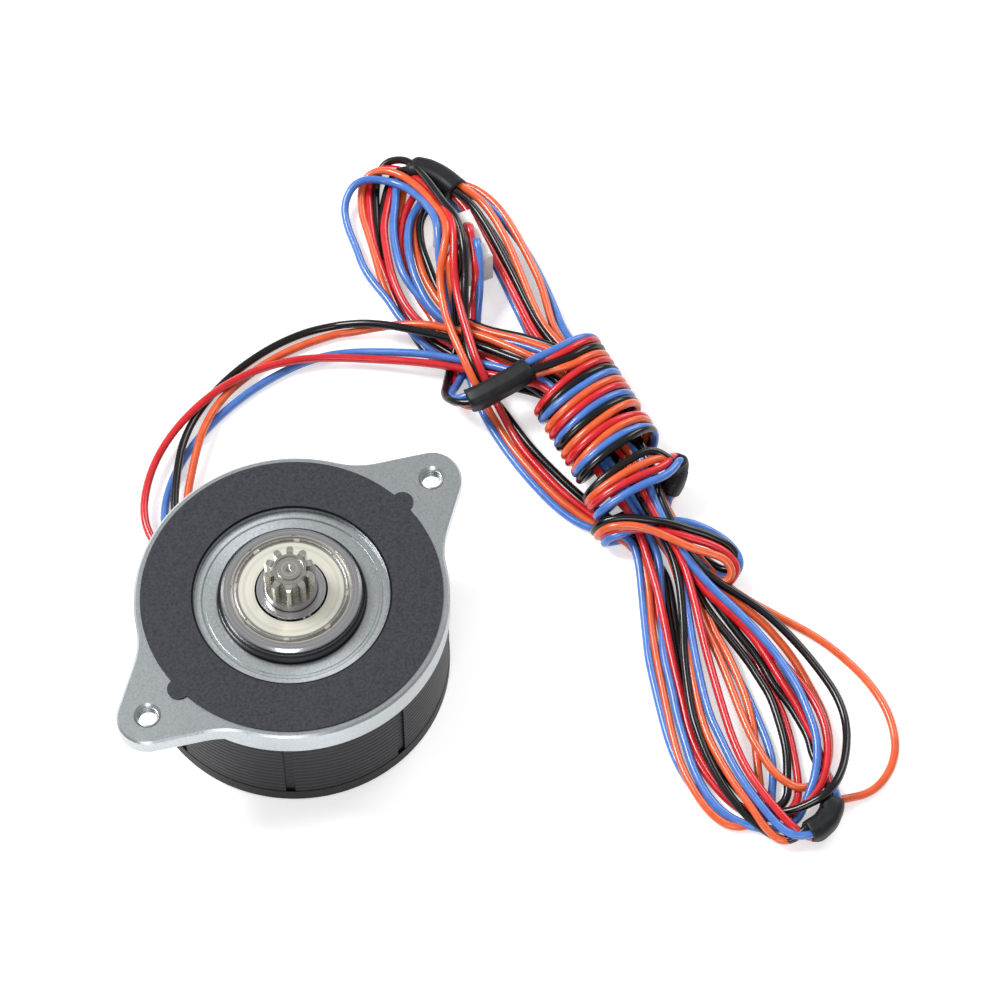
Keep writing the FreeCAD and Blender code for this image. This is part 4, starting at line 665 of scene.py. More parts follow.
WAYS: tuple[Way, ...] = (
    Way(
        lead=Lead.RED, colour=STUDIO_FINISHES["red_wire"], across=-2.01,
        free=((-2.3, 22.6, 1.5), (-0.9, 26.3, 1.6), (2.3, 29.4, 1.6), (6.5, 31.8, 1.6),
              (11.5, 33.1, 1.85), (17.2, 33.4, 1.85), (22.8, 32.2, 1.85), (27.6, 29.7, 1.7),
              (31.0, 26.9, 1.4), (34.7, 22.8, 1.5), (36.4, 20.5, 2.0), (38.1, 18.2, 2.3),
              (39.8, 15.7, 2.5), (41.0, 13.7, 2.7), (41.9, 11.9, 2.9), (42.6, 10.4, 3.4),
              (43.8, 7.6, 4.2)),
        first_down=((0, 2), (4, 2)),
        first_fall=((42.6, -15.6, 4.4), (41.6, -19.8, 3.8), (40.6, -23.2, 3.3), (38.7, -26.6, 3.0),
                    (35.7, -31.1, 2.8), (33.7, -34.2, 2.8), (30.0, -40.4, 2.8), (28.1, -43.9, 2.8),
                    (26.7, -47.4, 2.8), (26.0, -50.8, 2.8), (25.6, -53.9, 2.7), (25.6, -56.2, 2.3)),
        first_rise=((32.7, -55.1, 1.6), (34.0, -52.6, 1.2), (35.3, -50.5, 1.1), (36.4, -47.7, 1.4),
                    (37.5, -44.8, 1.6), (38.1, -42.4, 1.7), (39.9, -36.3, 1.8), (40.2, -33.5, 1.9),
                    (40.3, -30.5, 2.0), (40.2, -27.5, 2.2), (40.8, -23.4, 2.6), (42.6, -16.4, 2.7)),
        first_up=((4, 1), (4, 0)),
        upper_rise=((50.0, 11.4, 2.8), (52.0, 16.3, 2.5), (54.1, 21.8, 2.4), (55.8, 26.7, 2.3),
                    (57.1, 30.9, 2.2)),
        upper_fall=((54.9, 41.0, 1.6), (53.0, 40.3, 1.2), (51.0, 38.8, 1.4), (48.6, 37.0, 1.6),
                    (47.0, 35.2, 1.8), (44.3, 31.3, 2.0), (43.0, 28.8, 1.9), (42.0, 26.0, 1.8),
                    (41.7, 22.8, 1.6), (42.2, 18.4, 1.5), (44.0, 13.0, 2.2)),
        second_down=((1, 1), (0, 2)),
        second_fall=((40.8, -13.6, 3.6), (39.6, -17.2, 2.8), (38.0, -20.2, 2.4), (35.4, -24.6, 2.3),
                     (31.9, -29.7, 1.5), (28.3, -35.4, 0.9), (26.4, -38.2, 0.8), (25.0, -41.1, 0.7),
                     (24.0, -44.5, 0.6), (23.5, -47.7, 0.6), (24.0, -50.6, 0.6), (25.3, -52.6, 0.7),
                     (27.2, -54.2, 0.9)),
        second_rise=((29.7, -54.5, 1.6), (31.9, -54.2, 1.9), (34.1, -53.0, 2.0), (36.3, -51.1, 2.0),
                     (38.2, -48.4, 2.0), (39.5, -44.9, 2.0), (40.2, -37.7, 2.0), (40.4, -33.3, 2.1),
                     (40.4, -29.8, 2.2), (40.6, -25.4, 2.3), (42.0, -17.6, 2.9)),
        second_up=((3, 0), (3, 1)),
        climb=((44.0, 12.4, 0.8), (41.6, 17.0, 0.6), (40.8, 22.0, 0.55), (41.5, 26.7, 0.6),
               (43.2, 30.5, 0.6), (45.8, 35.8, 0.7), (47.4, 38.2, 0.7), (49.5, 40.8, 0.7),
               (51.1, 42.5, 0.7), (52.6, 43.5, 1.0), (54.0, 43.3, 1.2), (54.9, 42.2, 1.5),
               (55.5, 40.9, 1.8), (55.6, 39.4, 2.2), (55.3, 37.0, 3.6), (54.7, 34.3, 4.8)),
        over=((53.9, 32.0, 5.8), (53.3, 30.6, 6.9), (52.4, 28.5, 7.4), (50.9, 26.7, 7.3),
              (48.6, 24.4, 6.4), (46.8, 22.1, 5.2), (45.1, 19.4, 4.8), (43.3, 16.1, 4.6), (42.0, 13.6, 4.3),
              (41.2, 11.3, 3.6), (40.7, 9.4, 2.4), (40.4, 7.7, 1.2), (39.6, 5.1, 0.7),
              (38.8, 2.5, 0.6), (38.3, -1.5, 0.55), (38.0, -6.0, 0.6), (38.4, -10.8, 0.6)),
        third_fall=((38.8, -15.2, 0.6), (38.6, -19.2, 0.6), (36.5, -22.8, 0.6), (34.0, -26.0, 0.6),
                    (31.7, -29.4, 0.6), (27.4, -35.3, 0.6), (25.1, -39.3, 0.6), (23.6, -44.0, 0.6),
                    (23.2, -48.8, 0.6), (24.4, -52.2, 0.6), (26.8, -53.7, 0.6), (29.0, -53.4, 0.6)),
        third_rise=((30.8, -51.7, 0.6), (32.5, -49.5, 0.6), (34.2, -47.1, 0.6), (36.1, -43.8, 0.6),
                    (37.0, -40.7, 0.6), (39.0, -36.4, 0.6), (39.8, -32.2, 0.6), (40.6, -28.3, 0.6),
                    (41.2, -25.0, 0.7), (41.4, -17.6, 1.6)),
        third_up=((5, 0), (0, 0)),
        last_rise=((49.9, 11.8, 1.4), (52.2, 16.2, 1.4), (54.2, 21.4, 1.4), (55.9, 26.6, 1.4),
                   (57.2, 31.0, 1.1), (58.0, 34.2, 0.7), (57.7, 36.8, 0.6), (56.2, 38.1, 0.8)),
        last_fall=((54.1, 37.5, 1.2), (51.9, 36.5, 1.2), (50.4, 35.6, 1.2), (48.6, 34.1, 1.2),
                   (47.1, 32.3, 1.2), (46.1, 30.4, 1.0), (45.4, 28.6, 0.7), (44.3, 25.8, 0.6),
                   (43.7, 22.3, 0.6), (45.0, 16.6, 1.2), (47.6, 11.6, 2.8)),
        last_down=((4, 2), (4, 1)),
        bulge=((42.2, -16.0, 3.4), (41.5, -20.6, 2.6), (41.8, -24.6, 1.9), (42.0, -27.4, 1.4),
               (43.0, -28.5, 1.8), (44.9, -28.2, 2.8), (45.1, -26.1, 3.6), (44.3, -24.0, 4.1),
               (43.4, -22.5, 4.3), (42.2, -20.4, 4.5), (40.9, -18.3, 4.4), (39.2, -16.5, 4.5),
               (37.8, -15.2, 4.5), (36.6, -14.1, 3.6), (36.4, -13.6, 2.1), (37.2, -13.4, 0.8)),
        loose_rank=2, turn_ranks=(1, 0, 0, 0),
        curl=((35.9, 11.0, 4.0), (36.7, 12.9, 2.4), (38.3, 14.0, 1.2), (39.6, 14.9, 0.8),
              (41.8, 16.0, 0.6), (44.2, 17.4, 0.9), (46.4, 19.0, 1.6), (48.6, 20.9, 2.5),
              (50.2, 22.0, 5.5)),
        hole=(53.95, 27.49),
    ),
    Way(
        lead=Lead.BLUE, colour=STUDIO_FINISHES["blue_wire"], across=-0.67,
        free=((-0.5, 22.4, 0.7), (1.6, 25.6, 0.55), (5.2, 28.3, 0.55), (10.0, 30.2, 0.55),
              (15.6, 31.1, 0.55), (21.6, 31.0, 0.55), (27.0, 29.9, 0.55), (30.4, 28.5, 0.55),
              (33.1, 26.5, 0.7), (34.9, 24.4, 1.2), (36.7, 22.1, 1.8), (38.4, 19.8, 2.3),
              (40.0, 17.4, 2.6), (41.4, 15.0, 2.9), (42.8, 12.6, 3.2), (43.7, 10.4, 3.8),
              (44.7, 7.6, 4.6)),
        first_down=((1, 2), (2, 2)),
        first_fall=((42.0, -15.2, 3.6), (41.4, -19.6, 2.8), (39.0, -24.6, 2.4), (36.6, -28.0, 2.4),
                    (33.3, -32.3, 2.4), (29.0, -38.7, 2.4), (27.7, -42.0, 2.4), (26.2, -45.7, 2.4),
                    (25.4, -48.7, 2.4), (24.8, -51.9, 2.4), (24.5, -54.6, 2.3), (24.9, -56.6, 2.3)),
        first_rise=((33.4, -54.8, 0.8), (34.3, -52.0, 0.6), (35.3, -50.2, 0.6), (37.1, -46.8, 0.6),
                    (38.4, -43.9, 0.6), (40.3, -37.3, 0.6), (40.8, -33.0, 0.7), (41.0, -28.8, 0.8),
                    (41.4, -24.8, 1.0), (43.0, -16.6, 2.0)),
        first_up=((7, 1), (5, 0)),
        upper_rise=((53.6, 10.0, 1.2), (55.6, 13.9, 0.8), (57.6, 18.6, 0.8), (59.0, 23.0, 0.9),
                    (59.7, 27.6, 1.4), (59.3, 31.0, 2.4)),
        upper_fall=((54.8, 40.8, 2.0), (53.2, 39.7, 1.7), (51.5, 38.0, 1.8), (49.2, 36.0, 2.0),
                    (47.4, 33.9, 2.0), (45.2, 30.4, 2.0), (44.6, 28.2, 1.7), (44.3, 25.6, 1.4),
                    (44.0, 22.4, 1.0), (44.4, 17.6, 0.9), (45.8, 12.4, 2.0)),
        second_down=((2, 1), (1, 2)),
        second_fall=((41.4, -14.0, 3.4), (40.6, -17.6, 2.2), (39.6, -20.2, 1.6), (37.6, -22.5, 1.4),
                     (33.9, -26.5, 1.3), (31.1, -29.3, 1.3), (28.2, -33.9, 1.3), (26.6, -36.1, 1.2),
                     (25.1, -38.7, 1.2), (23.2, -41.9, 1.2), (21.9, -45.3, 1.1), (21.6, -48.3, 1.0),
                     (22.1, -50.6, 0.9), (23.4, -52.9, 0.7), (25.2, -54.6, 0.6), (27.2, -55.0, 0.7)),
        second_rise=((29.0, -54.4, 1.2), (30.4, -53.8, 1.8), (31.9, -53.1, 2.2), (34.2, -51.4, 2.4),
                     (36.1, -49.2, 2.6), (37.5, -46.5, 2.6), (38.8, -43.7, 2.7), (40.1, -38.7, 2.8),
                     (40.7, -32.9, 2.9), (40.7, -29.5, 3.0), (40.8, -26.3, 3.1), (41.5, -21.5, 3.6),
                     (43.4, -15.4, 4.6)),
        second_up=((1, 0), (6, 2)),
        climb=((43.2, 11.6, 0.8), (40.9, 16.2, 0.7), (40.1, 21.0, 0.9), (40.7, 25.9, 1.0),
               (41.5, 28.8, 1.0), (41.9, 32.1, 1.0), (42.6, 34.6, 1.0), (43.8, 36.9, 1.0),
               (44.9, 39.5, 1.0), (46.0, 41.4, 1.2), (47.2, 42.6, 1.6), (48.9, 43.3, 2.2),
               (50.3, 43.1, 2.6), (51.6, 42.2, 2.6), (52.8, 40.9, 2.3), (53.5, 39.2, 2.6),
               (53.6, 37.2, 3.2), (53.1, 34.7, 4.4)),
        over=((52.4, 32.9, 5.5), (51.6, 30.8, 6.6), (50.2, 28.8, 6.7), (48.0, 26.4, 5.2),
              (46.2, 23.2, 3.2), (44.4, 20.0, 1.6), (42.8, 17.0, 1.0), (40.8, 13.4, 1.2),
              (39.1, 10.0, 0.8), (37.8, 6.0, 0.6), (36.8, 1.6, 0.6), (36.2, -3.0, 0.6),
              (36.0, -7.4, 0.6), (36.6, -11.2, 0.9)),
        third_fall=((38.6, -14.6, 1.5), (38.8, -16.6, 1.8), (37.6, -18.8, 1.5), (36.0, -20.8, 1.2),
                    (34.3, -22.8, 1.0), (30.9, -26.9, 0.8), (29.4, -28.7, 0.8), (25.1, -35.3, 0.7),
                    (23.1, -38.8, 0.6), (21.9, -41.9, 0.6), (21.3, -45.1, 0.6), (21.3, -48.0, 0.6),
                    (22.1, -50.8, 0.6), (23.9, -52.4, 0.6)),
        third_rise=((26.0, -52.1, 0.6), (27.4, -50.7, 0.6), (29.1, -49.3, 0.6), (30.6, -47.7, 0.6),
                    (31.8, -45.8, 0.6), (32.8, -43.7, 0.6), (34.1, -40.8, 0.6), (35.3, -37.8, 0.6),
                    (38.0, -29.9, 0.6), (39.2, -26.3, 0.6), (40.4, -23.7, 0.7), (41.8, -16.8, 1.6)),
        third_up=((4, 0), (1, 0)),
        last_rise=((49.4, 10.6, 0.9), (51.2, 14.6, 0.6), (53.2, 19.6, 0.55), (55.2, 24.6, 0.55),
                   (56.6, 29.4, 0.55), (57.4, 33.2, 0.6), (57.1, 35.8, 0.8), (55.6, 36.6, 1.4)),
        last_fall=((53.7, 35.7, 2.0), (51.4, 35.0, 2.2), (49.6, 33.7, 2.4), (47.6, 31.5, 2.6),
                   (46.0, 29.1, 2.5), (45.1, 27.1, 2.3), (44.2, 24.6, 2.1), (43.9, 21.6, 1.9),
                   (45.0, 16.8, 2.1), (47.9, 11.4, 3.6)),
        last_down=((5, 2), (5, 1)),
        bulge=((43.0, -15.8, 3.0), (42.4, -20.4, 1.9), (42.8, -24.4, 1.2), (43.2, -27.0, 0.9),
               (44.4, -28.2, 1.5), (46.1, -27.5, 2.3), (46.5, -25.3, 2.9), (46.2, -23.3, 3.2),
               (45.2, -20.8, 3.6), (43.8, -18.8, 3.8), (41.8, -17.4, 3.7), (39.4, -16.4, 4.1),
               (37.6, -15.6, 4.1), (36.4, -14.8, 3.4), (36.1, -14.4, 1.9), (36.9, -14.1, 0.8)),
        loose_rank=3, turn_ranks=(0, 2, 1, 2),
        curl=((35.9, 11.2, 4.6), (37.0, 12.8, 2.8), (38.9, 13.6, 1.8), (40.7, 14.6, 0.9),
              (43.2, 15.6, 0.6), (45.6, 17.2, 0.7), (47.6, 19.2, 1.4), (49.4, 20.6, 3.8)),
        hole=(53.09, 25.25),
    ),
    Way(
        lead=Lead.BLACK, colour=STUDIO_FINISHES["black_wire"], across=0.67,
        free=((0.9, 22.2, 1.5), (2.9, 25.0, 1.65), (6.0, 28.0, 1.75), (9.6, 31.0, 1.6),
              (14.4, 33.4, 0.6), (20.2, 34.4, 0.55), (26.2, 34.0, 0.55), (31.0, 32.6, 0.6),
              (34.2, 30.5, 1.0), (35.5, 29.0, 1.7), (36.7, 27.6, 2.2), (38.3, 25.2, 2.7),
              (39.8, 22.7, 2.9), (41.9, 19.1, 3.1), (44.1, 14.9, 3.4), (44.9, 11.7, 4.1),
              (45.8, 8.6, 4.8)),
        first_down=((2, 2), (3, 2)),
        first_fall=((42.5, -14.4, 4.2), (41.6, -18.2, 3.8), (40.4, -21.6, 3.3), (38.6, -24.6, 2.9),
                    (35.2, -28.6, 2.6), (32.4, -31.4, 2.4), (27.9, -37.0, 2.2), (26.3, -39.9, 2.0),
                    (25.0, -42.7, 1.8), (24.0, -45.6, 1.6), (23.4, -48.5, 1.4), (23.2, -51.1, 1.2),
                    (23.4, -53.8, 1.1), (24.2, -56.6, 1.5)),
        first_rise=((33.0, -54.3, 1.3), (33.8, -51.9, 1.0), (34.4, -50.4, 1.0), (35.6, -48.7, 1.0),
                    (36.4, -46.4, 1.0), (37.1, -44.0, 1.0), (37.5, -41.2, 1.0), (38.7, -37.8, 1.1),
                    (39.3, -33.5, 1.3), (39.9, -30.4, 1.4), (40.5, -27.3, 1.6), (41.6, -23.4, 1.8),
                    (43.6, -16.4, 2.5)),
        first_up=((5, 1), (6, 0)),
        upper_rise=((51.2, 11.5, 2.8), (52.7, 15.8, 2.6), (53.8, 18.4, 2.6), (55.6, 23.2, 2.6),
                    (57.1, 27.6, 2.7), (57.8, 30.8, 2.9)),
        upper_fall=((54.9, 41.5, 1.7), (53.1, 41.0, 0.9), (51.5, 40.0, 0.6), (49.6, 38.5, 0.6),
                    (47.6, 36.4, 0.6), (45.6, 33.6, 0.6), (43.6, 30.4, 0.6), (42.2, 27.0, 0.7),
                    (41.2, 22.8, 0.8), (41.4, 18.0, 1.0), (43.0, 12.8, 1.8)),
        second_down=((0, 1), (1, 1)),
        second_fall=((41.0, -14.0, 2.6), (40.2, -18.0, 1.4), (39.0, -21.5, 0.8), (37.3, -23.7, 0.8),
                     (34.8, -26.9, 0.8), (32.5, -30.2, 0.7), (29.0, -34.9, 0.6), (27.1, -38.6, 0.6),
                     (25.9, -41.9, 0.6), (25.4, -45.5, 0.6), (25.0, -48.8, 0.7), (25.3, -51.4, 1.0),
                     (26.4, -53.5, 1.5)),
        second_rise=((28.3, -54.9, 2.6), (30.9, -55.9, 3.7), (33.5, -55.4, 3.4), (36.5, -53.7, 2.6),
                     (39.4, -51.1, 2.2), (41.1, -48.3, 2.2), (42.0, -45.4, 2.2), (42.9, -40.6, 2.2),
                     (43.2, -35.8, 2.3), (43.0, -33.2, 2.4), (42.5, -30.3, 2.5), (41.9, -27.6, 2.6),
                     (41.5, -24.0, 2.9), (44.0, -15.8, 4.6)),
        second_up=((0, 0), (7, 2)),
        climb=((42.8, 10.6, 0.8), (40.4, 15.4, 0.6), (39.6, 20.0, 0.6), (41.1, 25.5, 0.6),
               (42.2, 28.3, 0.6), (43.5, 31.4, 0.6), (45.1, 34.1, 0.6), (48.0, 37.7, 0.6),
               (50.2, 40.3, 0.6), (52.0, 42.1, 0.6), (53.7, 43.4, 0.8), (55.1, 43.4, 1.5),
               (56.0, 42.4, 2.2), (56.5, 41.0, 2.9), (56.3, 39.0, 3.5), (55.4, 36.3, 4.8)),
        over=((54.5, 33.6, 5.8), (53.6, 31.1, 6.9), (53.1, 29.1, 7.3), (52.5, 27.4, 7.4),
              (50.9, 25.0, 7.2), (49.0, 22.7, 6.0), (47.2, 21.0, 5.2), (45.9, 19.5, 4.3),
              (44.2, 17.9, 3.9), (42.8, 16.1, 4.0),
              (41.5, 13.8, 3.9), (40.9, 11.4, 3.2), (40.7, 9.2, 1.6), (40.7, 7.3, 0.8),
              (40.2, 4.6, 0.6), (39.6, 1.6, 0.6), (39.3, -3.0, 0.55), (39.2, -8.0, 0.6),
              (39.6, -12.0, 0.6)),
        third_fall=((39.9, -17.0, 0.6), (39.2, -21.9, 0.6), (37.0, -25.1, 0.6), (33.6, -29.4, 0.6),
                    (29.4, -35.2, 0.6), (27.4, -39.1, 0.6), (25.6, -43.9, 0.6), (24.9, -48.0, 0.6),
                    (25.4, -50.9, 0.6), (26.8, -52.5, 0.6)),
        third_rise=((28.6, -52.2, 0.9), (29.9, -50.7, 1.1), (31.4, -49.3, 1.2), (33.0, -47.4, 1.2),
                    (34.6, -44.8, 1.2), (36.1, -42.1, 1.2), (36.8, -39.7, 1.2), (37.6, -36.8, 1.2),
                    (38.3, -32.5, 1.3), (38.8, -29.3, 1.4), (39.8, -25.9, 1.5), (41.8, -17.6, 2.0)),
        third_up=((6, 0), (2, 0)),
        last_rise=((51.0, 11.0, 1.0), (53.4, 16.0, 0.8), (55.6, 20.6, 0.6), (57.4, 25.8, 0.55),
                   (58.4, 29.8, 0.55), (58.5, 33.0, 0.55), (57.6, 35.0, 0.6), (55.8, 35.3, 1.2)),
        last_fall=((53.4, 34.5, 2.0), (51.5, 33.6, 2.2), (50.0, 31.9, 2.2), (49.0, 30.4, 2.2),
                   (47.9, 28.1, 2.1), (46.8, 25.8, 1.9), (45.9, 22.8, 1.7), (46.2, 17.8, 1.6),
                   (49.0, 11.4, 3.8)),
        last_down=((7, 2), (7, 1)),
        bulge=((44.0, -15.6, 2.4), (43.4, -20.0, 1.2), (43.8, -24.1, 0.6), (44.3, -26.6, 0.7),
               (45.5, -27.7, 1.7), (46.4, -25.9, 3.1), (45.0, -23.0, 4.2), (43.9, -21.2, 4.4),
               (42.6, -19.1, 5.0), (41.0, -17.3, 5.4), (39.5, -15.4, 5.4), (38.3, -14.2, 5.2),
               (36.9, -13.1, 4.5), (36.3, -12.6, 2.9), (36.5, -12.4, 1.5), (37.4, -12.3, 0.7)),
        loose_rank=0, turn_ranks=(2, 1, 2, 3),
        curl=((35.6, 11.3, 4.6), (36.2, 13.2, 3.0), (38.0, 14.6, 1.8), (39.7, 15.9, 1.1),
              (42.0, 17.3, 1.2), (43.7, 18.9, 2.0), (45.3, 20.8, 2.8), (47.0, 22.6, 4.2)),
        hole=(50.85, 26.11),
    ),
    Way(
        lead=Lead.ORANGE, colour=STUDIO_FINISHES["orange_wire"], across=2.01,
        free=((2.5, 22.2, 1.2), (4.8, 24.9, 1.2), (8.4, 27.7, 1.5), (12.2, 30.4, 1.8),
              (17.2, 32.5, 1.1), (22.8, 32.9, 0.55), (28.2, 32.0, 0.55), (33.5, 29.8, 0.6),
              (35.0, 28.6, 0.7), (36.5, 27.4, 1.1), (37.9, 26.2, 1.5), (39.7, 24.6, 2.0),
              (41.7, 21.9, 2.9), (42.9, 19.8, 3.1), (45.0, 16.0, 3.6), (45.9, 12.4, 4.4),
              (46.8, 8.6, 5.0)),
        first_down=((3, 2), (5, 2)),
        first_fall=((42.7, -15.0, 3.0), (41.0, -20.4, 2.4), (38.1, -25.6, 2.2), (34.5, -29.5, 2.1),
                    (30.9, -34.5, 2.0), (28.7, -37.6, 2.0), (26.8, -40.9, 2.0), (25.6, -44.4, 2.0),
                    (24.8, -47.3, 2.0), (24.1, -50.7, 2.0), (23.4, -53.5, 1.8), (23.6, -56.2, 1.5)),
        first_rise=((33.4, -57.2, 0.8), (35.4, -58.3, 0.6), (37.6, -58.5, 0.6), (40.2, -57.8, 0.6),
                    (42.6, -56.1, 0.6), (44.8, -52.8, 0.6), (45.9, -49.0, 0.6), (46.2, -45.3, 0.6),
                    (46.0, -40.6, 0.6), (44.6, -35.2, 0.6), (43.0, -29.4, 0.8), (43.0, -23.6, 1.2),
                    (44.6, -16.4, 2.2)),
        first_up=((6, 1), (7, 0)),
        upper_rise=((51.4, 10.6, 2.9), (53.0, 14.9, 2.6), (55.3, 19.6, 2.6), (57.3, 23.9, 2.6),
                    (58.7, 28.2, 2.7), (59.1, 31.2, 2.7)),
        upper_fall=((55.2, 40.4, 1.2), (53.8, 39.0, 0.7), (52.0, 37.6, 0.7), (49.8, 35.6, 0.8),
                    (47.9, 33.4, 0.8), (46.0, 30.4, 0.6), (45.0, 27.6, 0.55), (44.2, 24.8, 0.55),
                    (43.2, 21.2, 0.6), (43.4, 17.0, 0.7), (44.8, 12.6, 1.8)),
        second_down=((3, 1), (2, 1)),
        second_fall=((41.9, -14.6, 2.6), (41.2, -20.2, 1.6), (39.5, -26.3, 1.4), (37.1, -29.8, 1.6),
                     (35.2, -34.8, 1.6), (32.2, -40.7, 1.6), (30.7, -44.0, 1.6), (30.1, -45.9, 1.6),
                     (29.3, -48.7, 1.6), (29.3, -50.9, 1.6), (30.0, -52.6, 1.2)),
        second_rise=((31.8, -53.3, 0.8), (33.9, -53.0, 0.6), (36.5, -51.4, 0.6), (39.0, -48.3, 0.6),
                     (40.5, -44.4, 0.6), (41.9, -40.0, 0.8), (42.4, -35.4, 1.2), (42.3, -33.1, 1.4),
                     (42.0, -30.0, 1.6), (41.7, -26.6, 1.8), (42.4, -18.0, 2.6)),
        second_up=((2, 0), (0, 1)),
        climb=((43.6, 11.8, 0.7), (41.2, 16.6, 0.6), (40.3, 21.6, 0.55), (41.2, 27.5, 0.6),
               (42.8, 31.2, 0.7), (45.3, 35.5, 0.7), (46.5, 37.7, 0.7), (47.8, 40.2, 0.7),
               (49.5, 42.2, 0.9), (50.6, 43.1, 1.3), (51.9, 43.4, 1.9), (53.3, 42.7, 2.3),
               (54.2, 41.1, 2.6), (54.6, 39.0, 3.0), (54.1, 35.6, 4.4)),
        over=((53.2, 32.7, 5.6), (52.3, 30.2, 6.8), (51.3, 28.3, 7.3), (49.0, 26.5, 6.9),
              (46.9, 25.1, 5.5), (45.3, 23.2, 4.8),
              (43.7, 20.8, 4.5), (42.6, 18.7, 4.5), (41.7, 16.5, 4.4), (40.6, 13.7, 4.1),
              (39.8, 11.4, 3.4), (39.4, 9.5, 2.2), (39.2, 8.0, 1.0), (38.6, 5.6, 0.6),
              (37.9, 3.2, 0.7), (37.2, -1.5, 0.8), (36.9, -6.0, 0.8), (37.3, -10.2, 0.9)),
        third_fall=((38.0, -13.8, 0.8), (38.9, -16.8, 1.1), (38.0, -19.4, 1.1), (35.8, -22.4, 1.0),
                    (34.0, -24.4, 0.9), (31.4, -27.5, 0.9), (26.0, -35.2, 0.9), (23.8, -38.5, 0.9),
                    (22.4, -41.0, 0.9), (21.3, -44.0, 0.9), (20.6, -47.1, 0.8), (20.8, -49.7, 0.7),
                    (22.2, -51.4, 0.6), (24.2, -51.8, 0.6)),
        third_rise=((26.0, -50.7, 0.6), (27.3, -48.9, 0.6), (29.2, -46.6, 0.9), (30.6, -44.9, 1.0),
                    (32.0, -43.2, 1.0), (33.7, -40.7, 1.0), (35.1, -37.9, 1.1), (36.6, -34.5, 1.1),
                    (37.4, -31.7, 1.2), (39.0, -28.5, 1.3), (40.4, -25.5, 1.3), (42.0, -17.2, 2.0)),
        third_up=((7, 0), (3, 0)),
        last_rise=((52.2, 10.0, 1.6), (54.5, 13.9, 1.6), (56.4, 17.0, 1.6), (58.1, 21.2, 1.6),
                   (59.6, 25.4, 1.6), (60.5, 29.0, 1.6), (60.6, 32.2, 1.3), (60.0, 34.6, 0.9),
                   (58.6, 36.6, 0.6), (56.6, 37.2, 0.6), (54.6, 36.2, 0.9)),
        last_fall=((52.5, 34.9, 1.4), (50.5, 33.5, 1.6), (49.0, 31.7, 1.8), (47.7, 29.7, 2.0),
                   (46.8, 28.1, 2.0), (46.0, 26.1, 2.0), (45.1, 22.6, 1.9), (45.6, 17.2, 2.6),
                   (48.4, 11.2, 4.0)),
        last_down=((6, 2), (6, 1)),
        bulge=((42.6, -16.2, 3.8), (41.3, -20.6, 3.2), (41.6, -23.8, 2.7), (41.8, -26.2, 2.2),
               (42.2, -28.2, 2.2), (43.8, -28.4, 3.2), (44.1, -26.8, 4.3), (43.1, -25.0, 4.7),
               (42.3, -23.6, 4.7), (41.3, -21.2, 5.0), (40.4, -18.7, 5.2), (39.2, -16.5, 5.3),
               (37.8, -15.0, 5.1), (36.7, -13.9, 4.3), (36.2, -13.3, 2.8), (36.4, -13.1, 1.4),
               (37.3, -13.0, 0.7)),
        loose_rank=1, turn_ranks=(3, 3, 3, 1),
        curl=((36.4, 11.1, 3.8), (36.9, 13.0, 2.4), (38.1, 14.4, 1.2), (39.6, 15.6, 0.6),
              (41.8, 16.8, 0.7), (43.8, 18.6, 1.2), (45.6, 21.0, 2.4), (47.2, 23.6, 4.4), (48.6, 25.3, 6.1)),
        hole=(51.71, 28.35),
    ),
)


@dataclass(frozen=True)
class Wrap:
    """The turns that bind the neck, in millimetres.

    A curve of order 3 runs inside its points, and shrink is the share of their reach that it has.
    """

    wide: float = 5.45
    tall: float = 3.3
    points: int = 12
    pitch: float = 1.0
    turn: float = 4.05
    first: float = 2.05
    lean: float = 1.69
    shrink: float = 0.967
    lowest: float = 0.52
    middle_rank: float = 1.5
    loose_middle: float = 21.5
    loose_pitch: float = 1.25
    loose_wide: float = 6.5
    loose_lean: float = 1.15
    loose_turns: float = 0.6
    under: tuple[Place, ...] = ((24.2, -4.0), (24.4, -1.6), (24.0, 1.8))
    under_pitch: float = 1.02
    under_height: float = 0.55

    def loose_rise(self, way: Way) -> list[Point]:
        """Leads one lead under the neck's lower end and up through the sleeve on its right.

        Args:
            way: The lead's way.

        Returns:
            The run's points.
        """
        shift = (way.loose_rank - self.middle_rank) * self.under_pitch
        under = [NECK.at(along + shift, across, self.under_height) for along, across in self.under]
        return under + LOOSE_SLEEVE.strand(way.lead)

    def coil(self, way: Way) -> list[Point]:
        """Winds one lead's four turns up the neck, the first of them loose.

        Args:
            way: The lead's way.

        Returns:
            The coil's points, from the loose turn's top to the neck's top.
        """
        tight = [self.first + self.pitch * rank + self.turn * number
                 for number, rank in enumerate(way.turn_ranks)]
        tops = [self.loose_middle + (way.loose_rank - self.middle_rank) * self.loose_pitch, *tight[::-1]]
        turns = len(tight)
        points = []
        for step in range(-1, self.points * turns + 1):
            turned = step / self.points
            below = min(int(turned), turns - 1)
            down = tops[below] + (tops[below + 1] - tops[below]) * (turned - below)
            looseness = max(0.0, 1.0 - turned / self.loose_turns)
            wide = self.wide + (self.loose_wide - self.wide) * looseness
            lean = self.lean + (self.loose_lean - self.lean) * looseness
            swing = math.radians(90.0) + 2.0 * math.pi * turned
            lift = NECK.height + self.tall / self.shrink * math.sin(swing)
            points.append(NECK.at(down - lean * math.cos(swing), wide / self.shrink * math.cos(swing),
                                  max(lift, self.lowest)))
        return points


WRAP = Wrap()


